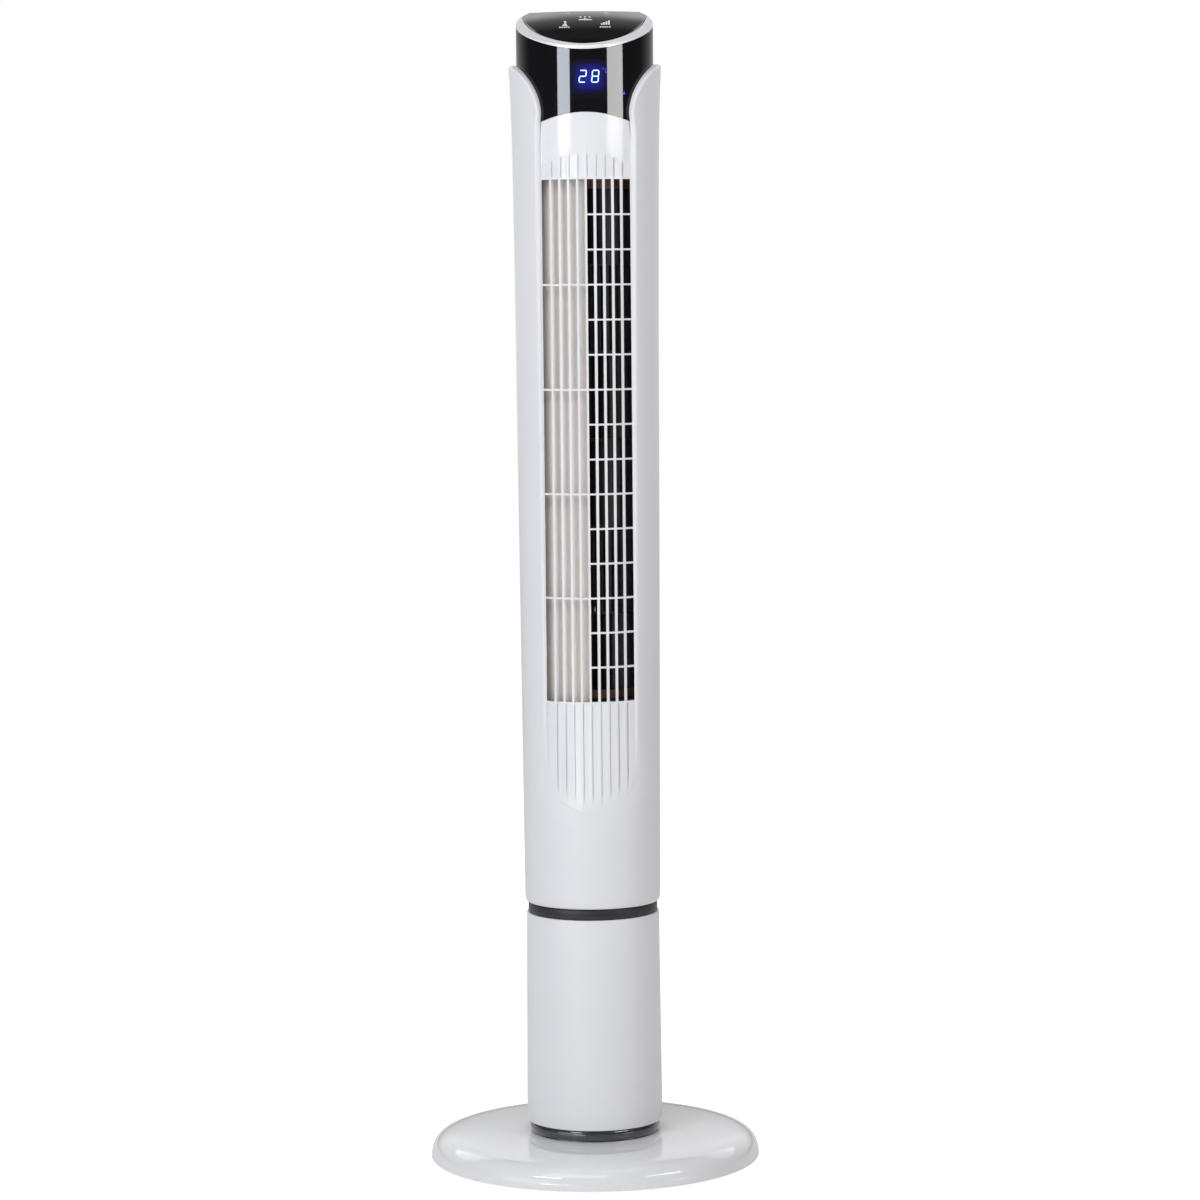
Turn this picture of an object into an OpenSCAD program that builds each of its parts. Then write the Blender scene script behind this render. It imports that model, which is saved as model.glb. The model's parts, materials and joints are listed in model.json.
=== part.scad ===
// Oscillating tower fan with a round base and a slanted touch panel.
// Millimetres. Front is -Y, +X is right, +Z is up, origin on the floor under the column axis.

/* [Base] */
// Radius of the round base
base_r = 168; // [140:1:190]
// Height of the flat top of the base
base_top = 28; // [22:1:36]
// Wall of the base shell
base_wall = 3.2; // [2:0.1:5]
// Radius on which the rubber feet sit
foot_ring_r = 150; // [120:1:155]
// Number of rubber feet
foot_count = 6; // [4:1:8]
// Bore radius of the rear cord outlet
outlet_r = 3.2; // [2.5:0.1:4.5]

/* [Column] */
// Outer radius of the column where it meets the base collar
column_r_low = 68.3; // [60:0.1:75]
// Outer radius of the column at its top
column_r_top = 66; // [58:0.1:75]
// Height where the column begins
column_z = 40; // [34:1:50]
// Height where the column ends
column_end = 254.5; // [200:0.5:300]
// Wall of the column tube
column_wall = 2.6; // [2:0.1:4]

/* [Body] */
// Height of the lower rim of the oscillating body
body_z = 266; // [262:1:320]
// Height of the upper rim of the body
body_top = 1111; // [900:1:1200]
// Radius of the body near its lower rim
body_r = 68.6; // [60:0.1:80]
// Steady widening of the body toward the top
body_flare = 3.9; // [0:0.1:10]
// Extra flare in the last part below the upper rim
horn_flare = 3.3; // [0:0.1:6]
// Wall of the body housings
body_wall = 2.4; // [2:0.1:4]
// Half width of the front cut-out between the wings
wing_half = 45.5; // [35:0.5:55]
// Height where the straight wing edges turn outward into the horns
horn_z = 1057; // [1000:1:1080]
// Height of the lowest point of the front cut-out
cutout_z = 362; // [300:1:420]

/* [Front grille] */
// Outer radius of the front grille panel
panel_r = 68.2; // [60:0.1:72]
// Lower edge of the air outlet
outlet_low = 475.8; // [420:0.1:520]
// Upper edge of the air outlet
outlet_high = 996.2; // [900:0.1:1020]
// Half width of the air outlet
outlet_half = 43.9; // [30:0.1:48]
// Number of columns between the upright bars
grille_columns = 10; // [6:2:14]
// Number of rows between the cross ribs on the right side
grille_rows = 15; // [9:3:21]
// Width of an upright bar
bar_w = 2.2; // [1.4:0.1:3.5]
// Height of a cross rib
rib_h = 1.8; // [1.2:0.1:3]

/* [Head] */
// Outer radius of the black head
head_r = 68.8; // [60:0.1:74]
// Highest point of the grille panel under the head, at the middle
arc_z = 1062.3; // [1040:0.1:1080]
// Rise of that edge from its corners to the middle
arc_rise = 8.3; // [0:0.1:14]
// Height of the slanted top at the column axis
slant_z = 1152.2; // [1130:0.1:1160]
// Slant of the control panel toward the front, in degrees
slant_a = 20; // [10:1:30]
// Distance of the top ridge behind the axis
ridge_y = 41; // [20:1:50]
// Slope of the rear part of the head, in degrees
rear_a = 25; // [5:1:40]

/* [Fan] */
// Outer radius of the crossflow impeller
impeller_r = 42; // [34:0.5:46]
// Radial depth of an impeller blade
blade_depth = 8; // [5:0.5:10]
// Number of blades in one impeller section
blade_count = 30; // [20:1:40]
// Number of impeller sections
section_count = 6; // [4:1:8]
// Offset of the impeller axis to the right and to the rear
impeller_off = 8; // [4:0.5:10]
// Radius of the motor shaft
shaft_r = 4; // [3:0.1:5]

/* [Swing drive] */
// Gear module
gear_m = 1.25; // [1:0.05:1.6]
// Teeth of the fixed gear on the stand
gear_teeth = 56; // [40:2:64]
// Teeth of the drive pinion
pinion_teeth = 16; // [12:1:20]
// Outer radius of the pivot sleeve
pivot_r = 18; // [14:0.5:22]
// Radial play of the pivot bearing
pivot_play = 0.05; // [0.02:0.01:0.1]

/* [Display] */
// Height of the digits
digit_h = 12.6; // [8:0.2:16]
// Width of one digit
digit_w = 7.6; // [5:0.2:10]
// Height of the middle of the digits
digit_z = 1097; // [1080:0.5:1110]

/* [Hidden] */
$fn = 96;

eps = 0.01;
gap = 0.3;
big = 400;

// Body profile
flare_z = body_z + 10;
cut_mid = 408;
horn_x = 73.3;
seam_y = 8;

// Floor of the tower and its fixings
floor_z = 268;
floor_t = 3;
floor_r = 64.6;
floor_screw_r = 57;
floor_screw_a = [35, 145, 215, 325];

// Column and base fixings
drum_r = 50;
drum_top = column_z;
flange_t = 5;
base_screw_r = 40;
column_screw_r = 58;
column_screw_a = [90, 210, 330];
swivel_z = 250;
swivel_boss_r = 56;
spigot_r = 23.5;
weight_screw_r = 105;
cover_z = 3.2;
cover_t = 2;
cover_screw_r = 146;
cover_screw_a = [30, 150, 270];

// Swing drive
fixed_pitch = gear_m * gear_teeth / 2;
pinion_pitch = gear_m * pinion_teeth / 2;
pinion_y = fixed_pitch + pinion_pitch;
gear_z = column_end;
gear_t = 8;
osc_shaft_r = 2.5;
osc_motor_r = 17;

// Ledges inside the housings that hold the motor plate and the bearing bridge
ledge_a = [20, 160, 205, 335];

// Housing screws
housing_screw_x = 54;
housing_screw_z = [300, 380, 446, 1022];

// Air path
duct_low = 459;
duct_high = 1004;
impeller_low = 474;
impeller_high = 998;
section_h = (impeller_high - impeller_low) / section_count;
disc_t = 2;
window_a = 62;
intake_low = 480;
intake_high = 992;
slat_pitch = 16;
slat_gap = 8;

// Motor
motor_z = 384;
motor_top = 456;
stator_low = 400;
stator_high = 440;
stator_r = 32;
rotor_r = 20;
motor_screw_r = 36;

// Grille
column_pitch = 2 * outlet_half / grille_columns;
row_pitch = (outlet_high - outlet_low) / grille_rows;
grille_depth = 7.2;
panel_wall = 2.4;
tab_r = 65.8;
tab_half = 52;
flute_depth = 0.9;

// Head
head_wall = 2.5;
head_z = 1049;
rim_in = 61.3;
rim_t = 5;

white = [0.93, 0.93, 0.94];
gloss_white = [0.95, 0.95, 0.96];
black = [0.07, 0.07, 0.08];
smoke = [0.3, 0.31, 0.33];
silver = [0.84, 0.85, 0.87];
steel = [0.6, 0.61, 0.63];
beige = [0.74, 0.72, 0.69];
dark = [0.12, 0.12, 0.13];
brass = [0.75, 0.6, 0.3];
copper = [0.72, 0.42, 0.22];
green = [0.1, 0.35, 0.2];
cyan = [0.75, 0.95, 1];

// Outer radius of the body at height z.
function body_u(z) = max(0, (z - flare_z) / (body_top - flare_z));
function body_radius(z) = body_r + body_flare * body_u(z) + horn_flare * pow(body_u(z), 16);

// Rounded dome of the base as radius r runs from the middle to the rim.
function dome_z(r, rim, low, high) =
    low + (high - low - 1.8) * pow(max(0, 1 - pow(r / rim, 20)), 1 / 2.2)
    + 1.8 * (1 - pow(r / rim, 2));
function dome_r(s, rim, start) = start + (rim - start) * (1 - pow(1 - s, 2.5));
function dome_points(rim, low, high, start, n) =
    [for (i = [0 : n]) let (r = dome_r(i / n, rim, start)) [r, dome_z(r, rim, low, high)]];

// Body wall profile from height z0 to z1, offset inward by d.
function wall_points(z0, z1, d, n) =
    [for (i = [0 : n]) let (z = z0 + (z1 - z0) * i / n) [body_radius(z) - d, z]];

function flip(points) = [for (i = [len(points) - 1 : -1 : 0]) points[i]];
function mirrored(points) = [for (p = flip(points)) [-p[0], p[1]]];

// Right half of the front cut-out, from its lowest point to above the horns, grown by g.
function cutout_half(g) = concat(
    [for (i = [0 : 8]) let (a = -90 + 90 * i / 8)
        [(wing_half + g) * cos(a), cut_mid + (cut_mid - cutout_z + g) * sin(a)]],
    [for (i = [0 : 8]) let (a = 90 * i / 8)
        [horn_x - (horn_x - wing_half - g) * cos(a), horn_z + (body_top - horn_z - g) * sin(a)]],
    [[big / 4, body_top + eps - g], [big / 4, body_top + 60]]);

// Right half of the visible grille panel, from its lowest point to its arched top, grown by g.
function panel_half(g, lift = 0) = concat(
    [for (i = [0 : 8]) let (a = -90 + 90 * i / 8)
        [(wing_half + g) * cos(a), cut_mid + (cut_mid - cutout_z + g) * sin(a)]],
    [for (i = [0 : 8]) let (x = (wing_half + g) * (1 - i / 8))
        [x, arc_z + lift - arc_rise * pow(x / wing_half, 2)]]);

// Half the angle of an involute tooth at radius r.
function inv(a) = tan(a) * 180 / PI - a;
function tooth_half(r, rp, teeth, play) =
    let (rb = rp * cos(20), a = r > rb ? acos(rb / r) : 0)
    90 / teeth + inv(20) - inv(a) - play / rp * 90 / PI;

// Gear outline with short involute teeth, as points around the pitch circle.
function gear_points(teeth, m, play) = [
    for (i = [0 : teeth - 1])
        let (rp = m * teeth / 2, radii = [rp - m, rp - 0.45 * m, rp, rp + 0.8 * m],
            flank = [for (r = radii) [r, tooth_half(r, rp, teeth, play)]])
        each concat([for (f = flank) gear_point(f[0], i * 360 / teeth - f[1])],
            [for (f = flip(flank)) gear_point(f[0], i * 360 / teeth + f[1])])];
function gear_point(r, a) = [r * cos(a), r * sin(a)];

module at_angle(a, r, z = 0) {
    rotate([0, 0, a]) translate([r, 0, z]) children();
}

module ring(r_in, r_out, z0, z1) {
    translate([0, 0, z0]) rotate_extrude() translate([r_in, 0]) square([r_out - r_in, z1 - z0]);
}

module hollow(r_out, r_in, h) {
    difference() {
        cylinder(r = r_out, h = h);
        translate([0, 0, -eps]) cylinder(r = r_in, h = h + 2 * eps);
    }
}

// Prism along Y from an outline drawn in X and Z, reaching from y0 to y1.
module front_prism(points, y0, y1) {
    translate([0, y1, 0]) rotate([90, 0, 0]) linear_extrude(height = y1 - y0) polygon(points);
}

module wedge(a0, a1, r, z0, z1) {
    translate([0, 0, z0]) rotate_extrude(angle = a1 - a0, start = a0) square([r, z1 - z0]);
}

// Pan-head screw that stands on its head: shank up from z = 0, head below.
module screw(shank_r, shank_h, head_r, head_h) {
    cylinder(r = shank_r, h = shank_h);
    translate([0, 0, -head_h]) difference() {
        cylinder(r1 = head_r * 0.8, r2 = head_r, h = head_h);
        translate([-head_r / 2, -0.4, -eps]) cube([head_r, 0.8, head_h / 3]);
        translate([-0.4, -head_r / 2, -eps]) cube([0.8, head_r, head_h / 3]);
    }
}

// ---- Base ----

module dome_solid(d) {
    rotate_extrude() polygon(concat([[20, 2]],
        dome_points(base_r - d, 2, base_top - d, 20, 12)));
}

module base_shell() {
    color(gloss_white) difference() {
        union() {
            rotate_extrude() polygon(concat(
                dome_points(base_r, 2, base_top, 24, 14),
                flip(dome_points(base_r - base_wall, 2, base_top - base_wall, 24, 14))));
            intersection() {
                dome_solid(base_wall / 2);
                union() {
                    for (i = [0 : foot_count - 1]) at_angle(i * 60, foot_ring_r, cover_z + cover_t)
                        cylinder(r = 6, h = base_top);
                    for (a = cover_screw_a) at_angle(a, cover_screw_r, cover_z + cover_t)
                        cylinder(r = 5, h = base_top);
                    for (i = [0 : foot_count - 1]) at_angle(i * 60 + 30, 0)
                        translate([54, -1, 22.4]) cube([106, 2, 6]);
                    for (i = [0 : 3]) at_angle(i * 90 + 45, weight_screw_r, 22.1)
                        cylinder(r = 5, h = 8);
                }
            }
        }
        for (i = [0 : foot_count - 1]) at_angle(i * 60, foot_ring_r, 0)
            cylinder(r = 3.05, h = 9);
        for (a = cover_screw_a) at_angle(a, cover_screw_r, 0) cylinder(r = 1.95, h = 16);
        for (i = [0 : 3]) {
            at_angle(i * 90 + 45, base_screw_r, 0) cylinder(r = 2.3, h = base_top + 5);
            at_angle(i * 90 + 45, weight_screw_r, 0) cylinder(r = 1.95, h = 24.5);
        }
        translate([-6.2, foot_ring_r + 12, 0]) cube([12.4, 20, 11]);
    }
}

module base_cover() {
    color(dark) difference() {
        translate([0, 0, cover_z]) cylinder(r = base_r - 4.2, h = cover_t);
        for (i = [0 : foot_count - 1]) at_angle(i * 60, foot_ring_r, 0)
            cylinder(r = 3.05, h = 9);
        for (a = cover_screw_a) at_angle(a, cover_screw_r, 0) cylinder(r = 2.1, h = 9);
        translate([-8.6, foot_ring_r + 1, 0]) cube([17.2, 30, 20]);
    }
}

module cover_screws() {
    color(steel) for (a = cover_screw_a) at_angle(a, cover_screw_r, cover_z)
        screw(1.9, 11, 3.8, 2.2);
}

module base_weight() {
    color(steel) difference() {
        ring(75, 134, 16, 22);
        for (i = [0 : 3]) at_angle(i * 90 + 45, weight_screw_r, 0) cylinder(r = 2.1, h = 30);
    }
}

module weight_screws() {
    color(steel) for (i = [0 : 3]) at_angle(i * 90 + 45, weight_screw_r, 16)
        screw(1.9, 8, 4.2, 2.6);
}

module rubber_feet() {
    color(dark) for (i = [0 : foot_count - 1]) at_angle(i * 60, foot_ring_r) {
        cylinder(r1 = 9, r2 = 10, h = 1);
        translate([0, 0, 1]) cylinder(r = 10, h = cover_z - 1);
        translate([0, 0, cover_z - eps]) cylinder(r = 3, h = 5);
    }
}

module cord_gland() {
    color(dark) difference() {
        union() {
            translate([-6, foot_ring_r + 2, 2.2]) cube([12, 15.5, 8.6]);
            translate([-8, foot_ring_r + 5, 2.2]) cube([16, 3, 10.6]);
        }
        translate([0, foot_ring_r, 6.5]) rotate([-90, 0, 0]) cylinder(r = outlet_r, h = 30);
    }
}

module base_collar() {
    color(smoke) rotate_extrude() polygon(concat(
        [[drum_r + gap, base_top], [65.6, base_top]],
        [for (i = [0 : 6]) let (a = -50 + 100 * i / 6) [62.8 + 4 * cos(a), 34 + 6.6 * sin(a)]],
        [[65.3, column_z - gap], [63, column_z - gap], [63, base_top + 2.4],
            [drum_r + gap, base_top + 2.4]]));
}

module column_foot() {
    color(dark) difference() {
        union() {
            ring(drum_r - 3, drum_r, base_top, drum_top + eps);
            ring(16, 65.2, drum_top, drum_top + flange_t);
            ring(16, spigot_r, 10, drum_top + eps);
            for (i = [0 : 3]) at_angle(i * 90 + 45, base_screw_r, base_top)
                cylinder(r = 5, h = drum_top - base_top + 1);
        }
        for (i = [0 : 3]) at_angle(i * 90 + 45, base_screw_r, 0)
            cylinder(r = 1.95, h = drum_top + 2);
        for (a = column_screw_a) at_angle(a, column_screw_r, 0) cylinder(r = 2.1, h = 80);
    }
}

module column_nut() {
    color(dark) difference() {
        translate([0, 0, 14]) union() {
            hollow(33, spigot_r + 0.05, 7);
            translate([0, 0, 7]) hollow(30, spigot_r + 0.05, 3.5);
        }
        for (i = [0 : 11]) at_angle(i * 30, 34.4, 0) cylinder(r = 2.6, h = 21);
    }
}

module base_screws() {
    color(steel) for (i = [0 : 3]) at_angle(i * 90 + 45, base_screw_r, 24.6)
        screw(1.9, 15, 4, 2.4);
}

// ---- Column ----

module column_tube() {
    h = column_end - column_z;
    color(white) difference() {
        union() {
            rotate_extrude() polygon([
                [column_r_low - column_wall, column_z], [column_r_low - 0.6, column_z],
                [column_r_low, column_z + 0.8], [column_r_top, column_end - 0.8],
                [column_r_top - 0.6, column_end], [column_r_top - column_wall, column_end]]);
            for (a = column_screw_a) {
                at_angle(a, column_screw_r, column_z + flange_t) tube_boss(16);
                at_angle(a + 60, swivel_boss_r, swivel_z - 18) tube_boss(18);
            }
        }
        for (a = column_screw_a) {
            at_angle(a, column_screw_r, column_z + flange_t - eps) cylinder(r = 1.95, h = 14);
            at_angle(a + 60, swivel_boss_r, swivel_z - 14) cylinder(r = 1.95, h = 15);
        }
    }
}

module tube_boss(h) {
    cylinder(r = 5, h = h);
    translate([2, -2, 0]) cube([7.2, 4, h]);
}

module column_screws() {
    color(steel) for (a = column_screw_a) at_angle(a, column_screw_r, column_z - gap / 10)
        screw(1.9, 16, 3.8, 2.4);
}

module seam_ring() {
    color(black) rotate_extrude() polygon([[62, column_end + gap / 3], [65.4, column_end + gap / 3],
        [65.8, column_end + 0.6], [65.8, body_z - 1.6], [65.3, body_z - 1], [62, body_z - 1]]);
}

module swivel_plate() {
    color(dark) difference() {
        union() {
            ring(12, 62.8, swivel_z, column_end);
            rotate_extrude() polygon([[12, swivel_z], [pivot_r, swivel_z], [pivot_r, 280],
                [pivot_r - 1, 280], [pivot_r - 1, 283.1], [pivot_r, 283.1], [pivot_r, 285],
                [pivot_r - 1, 286], [12, 286]]);
            for (a = [0 : 60 : 300]) at_angle(a, 0) translate([17, -1.5, swivel_z - 6])
                cube([34, 3, 7]);
        }
        for (a = column_screw_a) at_angle(a + 60, swivel_boss_r, 0) cylinder(r = 2.1, h = 300);
    }
}

module swivel_screws() {
    color(steel) for (a = column_screw_a) at_angle(a + 60, swivel_boss_r, column_end)
        rotate([180, 0, 0]) screw(1.9, 14, 3.8, 2.2);
}

module fixed_gear() {
    color(white) difference() {
        union() {
            rotate([0, 0, 90]) translate([0, 0, gear_z]) linear_extrude(height = gear_t)
                polygon(gear_points(gear_teeth, gear_m, 0.12));
            ring(pivot_r + 0.1, 26, gear_z, gear_z + gear_t + 1.5);
        }
        translate([0, 0, gear_z - eps]) cylinder(r = pivot_r + 0.1, h = gear_t + 4);
    }
}

module thrust_washer() {
    color(silver) ring(pivot_r + 0.1, 27, gear_z + gear_t + 1.5, gear_z + gear_t + 3);
}

module retaining_clip() {
    color(steel) difference() {
        ring(pivot_r - 1 + 0.05, 24, 280.1, 283);
        translate([-3, 10, 270]) cube([6, 20, 20]);
    }
}

// ---- Tower structure ----

module body_floor() {
    color(dark) difference() {
        union() {
            ring(pivot_r + pivot_play, floor_r, floor_z, floor_z + floor_t);
            ring(pivot_r + pivot_play, 27, gear_z + gear_t + 3.05, floor_z + eps);
            ring(pivot_r + pivot_play, 24, floor_z, 280);
            for (a = [15, 165, 225, 270, 315]) at_angle(a, 0)
                translate([23, -1.5, floor_z + 1]) cube([28, 3, 8]);
        }
        translate([0, pinion_y, 200]) cylinder(r = 5, h = 100);
        for (a = floor_screw_a) at_angle(a, floor_screw_r, 0) cylinder(r = 2.1, h = 300);
        for (x = [-21, 21]) translate([x, pinion_y, 200]) cylinder(r = 1.95, h = 100);
    }
}

module floor_screws() {
    color(steel) for (a = floor_screw_a) at_angle(a, floor_screw_r, floor_z)
        screw(1.9, 14, 3.6, 2.1);
}

module housing_wall(n) {
    rotate_extrude() polygon(concat(
        [[64.4, body_z], [66.6, body_z], [67.9, body_z + 2], [68.5, body_z + 5]],
        wall_points(flare_z, body_top - 2, 0, n),
        [[body_radius(body_top) - 0.8, body_top - 0.6], [body_radius(body_top) - 2.4, body_top],
            [71.8, body_top], [70.2, body_top - 0.8], [69.3, body_top - 2.4], [69.3, horn_z - 13]],
        flip(wall_points(flare_z, 1030, body_wall, 6)),
        [[66.1, body_z + 5]]));
}

module front_housing() {
    color(white) difference() {
        intersection() {
            union() {
                housing_wall(14);
                housing_bosses();
            }
            translate([-big / 2, -big / 2, 0]) cube([big, big / 2 + seam_y, 1300]);
        }
        front_prism(concat(cutout_half(0), mirrored(cutout_half(0))), -big / 2, 0);
        for (z = housing_screw_z, x = [-1, 1] * housing_screw_x)
            translate([x, seam_y - 14, z]) rotate([-90, 0, 0]) cylinder(r = 1.95, h = 40);
        for (a = floor_screw_a) at_angle(a, floor_screw_r, 0) cylinder(r = 1.95, h = 283);
    }
}

module housing_bosses() {
    for (z = housing_screw_z, side = [0, 180]) {
        translate([housing_screw_x * cos(side), seam_y - 16, z]) rotate([-90, 0, 0])
            cylinder(r = 5, h = 32);
        mirror([side / 180, 0, 0]) translate([housing_screw_x + 3, 0, z - 2])
            cube([body_radius(z) - 1.6 - housing_screw_x - 3, 12, 4]);
    }
    for (a = floor_screw_a) at_angle(a, floor_screw_r, floor_z + floor_t) {
        cylinder(r = 4.5, h = 14);
        translate([2, -2, 0]) cube([8, 4, 14]);
    }
    for (a = ledge_a, z = [motor_top - 3.1, duct_high + 4.1]) at_angle(a, 57, z)
        translate([0, -3, 0]) cube([body_radius(z) - 1.2 - 57, 6, 3]);
}

module rear_housing() {
    color(white) difference() {
        intersection() {
            union() {
                housing_wall(14);
                housing_bosses();
            }
            translate([-big / 2, seam_y + 0.05, 0]) cube([big, big / 2, 1300]);
        }
        wedge(90 - window_a, 90 + window_a, 100, intake_low, intake_high);
        translate([-44.9, 40, 1015.6]) cube([89.8, 60, 33.3]);
        for (z = housing_screw_z, x = [-1, 1] * housing_screw_x)
            translate([x, 0, z]) rotate([-90, 0, 0]) {
                cylinder(r = 2.1, h = 40);
                translate([0, 0, seam_y + 12]) cylinder(r = 4.1, h = 60);
            }
        for (a = floor_screw_a) at_angle(a, floor_screw_r, 0) cylinder(r = 1.95, h = 283);
    }
}

module housing_screws() {
    color(steel) for (z = housing_screw_z, x = [-1, 1] * housing_screw_x)
        translate([x, seam_y + 12, z]) rotate([90, 0, 0]) screw(1.9, 22, 3.9, 2.2);
}

// ---- Front grille ----

module front_grille() {
    side = tab_half - wing_half;
    color(gloss_white) difference() {
        intersection() {
            rotate_extrude() polygon([[63.4, cutout_z - 8], [panel_r, cutout_z - 8],
                [panel_r, arc_z], [63.4, arc_z], [63.4, outlet_high + 6],
                [panel_r - grille_depth, outlet_high + 3], [panel_r - grille_depth, outlet_low - 3],
                [63.4, outlet_low - 6]]);
            front_prism(concat(panel_half(side), mirrored(panel_half(side))), -100, -20);
        }
        difference() {
            ring(tab_r, 80, cutout_z - 20, arc_z + 5);
            front_prism(concat(panel_half(-0.3), mirrored(panel_half(-0.3))), -100, 0);
        }
        for (i = [0 : grille_columns - 1]) grille_column(i);
        for (i = [0 : grille_columns - 1]) flute(i);
    }
}

// Openings of one grille column: fine rows on the right half, coarse rows on the left half.
module grille_column(i) {
    x0 = -outlet_half + i * column_pitch + (i == 0 ? 0 : bar_w / 2);
    x1 = -outlet_half + (i + 1) * column_pitch - (i == grille_columns - 1 ? 0 : bar_w / 2);
    rows = i < grille_columns / 2 ? grille_rows / 3 : grille_rows;
    h = (outlet_high - outlet_low) / rows;
    for (j = [0 : rows - 1]) {
        z0 = outlet_low + j * h + (j == 0 ? 0 : rib_h / 2);
        z1 = outlet_low + (j + 1) * h - (j == rows - 1 ? 0 : rib_h / 2);
        translate([x0, -80, z0]) cube([x1 - x0, 55, z1 - z0]);
    }
}

// Shallow pockets that carry the lines of the bars past both ends of the outlet.
module flute(i) {
    x0 = -outlet_half + i * column_pitch + 0.5;
    w = column_pitch - 1;
    t = (x0 + w / 2) / wing_half;
    low = cut_mid - 38 * sqrt(1 - t * t);
    high = outlet_high + 24 - 14 * t * t;
    difference() {
        union() {
            translate([x0, -80, low]) cube([w, 40, outlet_low - 4 - low]);
            translate([x0, -80, outlet_high + 4]) cube([w, 40, high - outlet_high - 4]);
        }
        cylinder(r = panel_r - flute_depth, h = 1200);
    }
}

// ---- Rear intake ----

module intake_grille() {
    a = window_a - 0.4;
    color(white) difference() {
        rotate_extrude(angle = 2 * a, start = 90 - a) polygon(concat(
            wall_points(intake_low + gap, intake_high - gap, 0, 4),
            flip(wall_points(intake_low + gap, intake_high - gap, body_wall, 4))));
        for (z = [intake_low + 10 : slat_pitch : intake_high - 14])
            translate([0, 0, z]) rotate_extrude(angle = 2 * a - 6, start = 93 - a)
                translate([body_radius(z) - 1.3, 0]) square([6, slat_gap]);
        for (k = [-3.5 : 3.5]) rotate([0, 0, k * 14.6]) intake_slot();
    }
    color(white) for (z = [510, 730, 950], side = [-1, 1]) intake_tab(z, side);
}

// Upright slot cut from the inside, behind the slats.
module intake_slot() {
    rotate_extrude(angle = 12.2, start = 90 - 6.1) polygon(concat(
        [[50, intake_high - 10], [50, intake_low + 10]],
        wall_points(intake_low + 10, intake_high - 10, 1.2, 4)));
}

// Clip behind the edge of the rear housing.
module intake_tab(z, side) {
    r = body_radius(z) - body_wall;
    edge = 90 + side * (window_a - 1.2);
    translate([0, 0, z]) {
        rotate_extrude(angle = 1.4, start = edge - 0.7) translate([r - 2.1, 0]) square([2.6, 18]);
        rotate_extrude(angle = 5, start = edge - 2.5 + side * 1.8)
            translate([r - 2.1, 0]) square([2, 18]);
    }
}

// ---- Air path ----

// Stabiliser wall left of the outlet and the scroll wall that runs behind the impeller.
module air_duct() {
    color(beige) difference() {
        union() {
            translate([0, 0, duct_low]) rotate_extrude(angle = 62, start = 208)
                translate([55, 0]) square([2, duct_high - duct_low]);
            translate([-2.2, -57, duct_low]) cube([2, 19.4, duct_high - duct_low]);
            translate([0, 0, duct_low]) rotate_extrude(angle = 40, start = 320)
                translate([58, 0]) square([1.8, duct_high - duct_low]);
            ring(52, 59.8, duct_low, duct_low + 2);
            ring(52, 59.8, duct_high - 2, duct_high);
        }
        translate([-80, 0, duct_low - 1]) cube([160, 80, 4]);
        translate([-80, 0, duct_high - 3]) cube([160, 80, 4]);
    }
}

// ---- Swing motor and electronics in the lower tower ----

module osc_motor() {
    color(steel) difference() {
        union() {
            translate([0, pinion_y, floor_z + floor_t]) cylinder(r = osc_motor_r, h = 19);
            translate([-25, pinion_y - 4, floor_z + floor_t]) cube([50, 8, 1.6]);
            translate([-9, pinion_y - 21, floor_z + floor_t + 2]) cube([18, 8, 14]);
        }
        translate([0, pinion_y, 200]) cylinder(r = osc_shaft_r + 0.04, h = 84);
        for (x = [-21, 21]) translate([x, pinion_y, 200]) cylinder(r = 2.05, h = 100);
    }
}

module osc_motor_screws() {
    color(steel) for (x = [-21, 21]) translate([x, pinion_y, floor_z + floor_t + 1.6])
        rotate([180, 0, 0]) screw(1.9, 5, 3.4, 2);
}

module power_board() {
    color(green) translate([-30, -32, 300]) cube([60, 1.6, 72]);
    color(dark) {
        translate([-20, -30.4 - eps, 350]) cube([16, 12, 14]);
        translate([4, -30.4 - eps, 348]) cube([20, 14, 18]);
        translate([-24, -30.4 - eps, 306]) cube([22, 8, 10]);
        translate([8, -30.4 - eps, 308]) cube([16, 7, 8]);
    }
    color(steel) for (x = [-10, 0, 10]) translate([x, -30.4 - eps, 330]) rotate([-90, 0, 0])
        cylinder(r = 4, h = 12);
}

// ---- Fan motor ----

module on_fan_axis() {
    translate([impeller_off, impeller_off, 0]) children();
}

module motor_plate() {
    color(steel) difference() {
        translate([0, 0, motor_top]) cylinder(r = 59.5, h = 3);
        on_fan_axis() {
            translate([0, 0, motor_top - 1]) cylinder(r = 9, h = 6);
            for (i = [0 : 3]) at_angle(i * 90 + 45, motor_screw_r, motor_top - 1)
                cylinder(r = 1.95, h = 6);
        }
    }
}

module bell(z0, z1, bore_z, up) {
    difference() {
        union() {
            translate([0, 0, z0]) cylinder(r = stator_r + 7.5, h = z1 - z0);
            translate([0, 0, bore_z]) cylinder(r = 13, h = 10);
        }
        translate([0, 0, up ? z0 - eps : z0 + 2]) cylinder(r = stator_r + 0.1, h = z1 - z0 - 2 + eps);
        translate([0, 0, z0 - 20]) cylinder(r = 8.05, h = z1 - z0 + 40);
        for (i = [0 : 3]) at_angle(i * 90 + 45, motor_screw_r) translate([0, 0, z0 - 20])
            cylinder(r = 2.1, h = z1 - z0 + 40);
        for (i = [0 : 7]) at_angle(i * 45, 22) translate([0, 0, z0 - 20])
            cylinder(r = 3.4, h = z1 - z0 + 40);
    }
}

module motor_lower_bell() {
    color(silver) on_fan_axis() bell(motor_z + 6, 420, motor_z, false);
}

module motor_upper_bell() {
    color(silver) on_fan_axis() bell(420.05, motor_top - 8, motor_top - 10, true);
}

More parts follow.
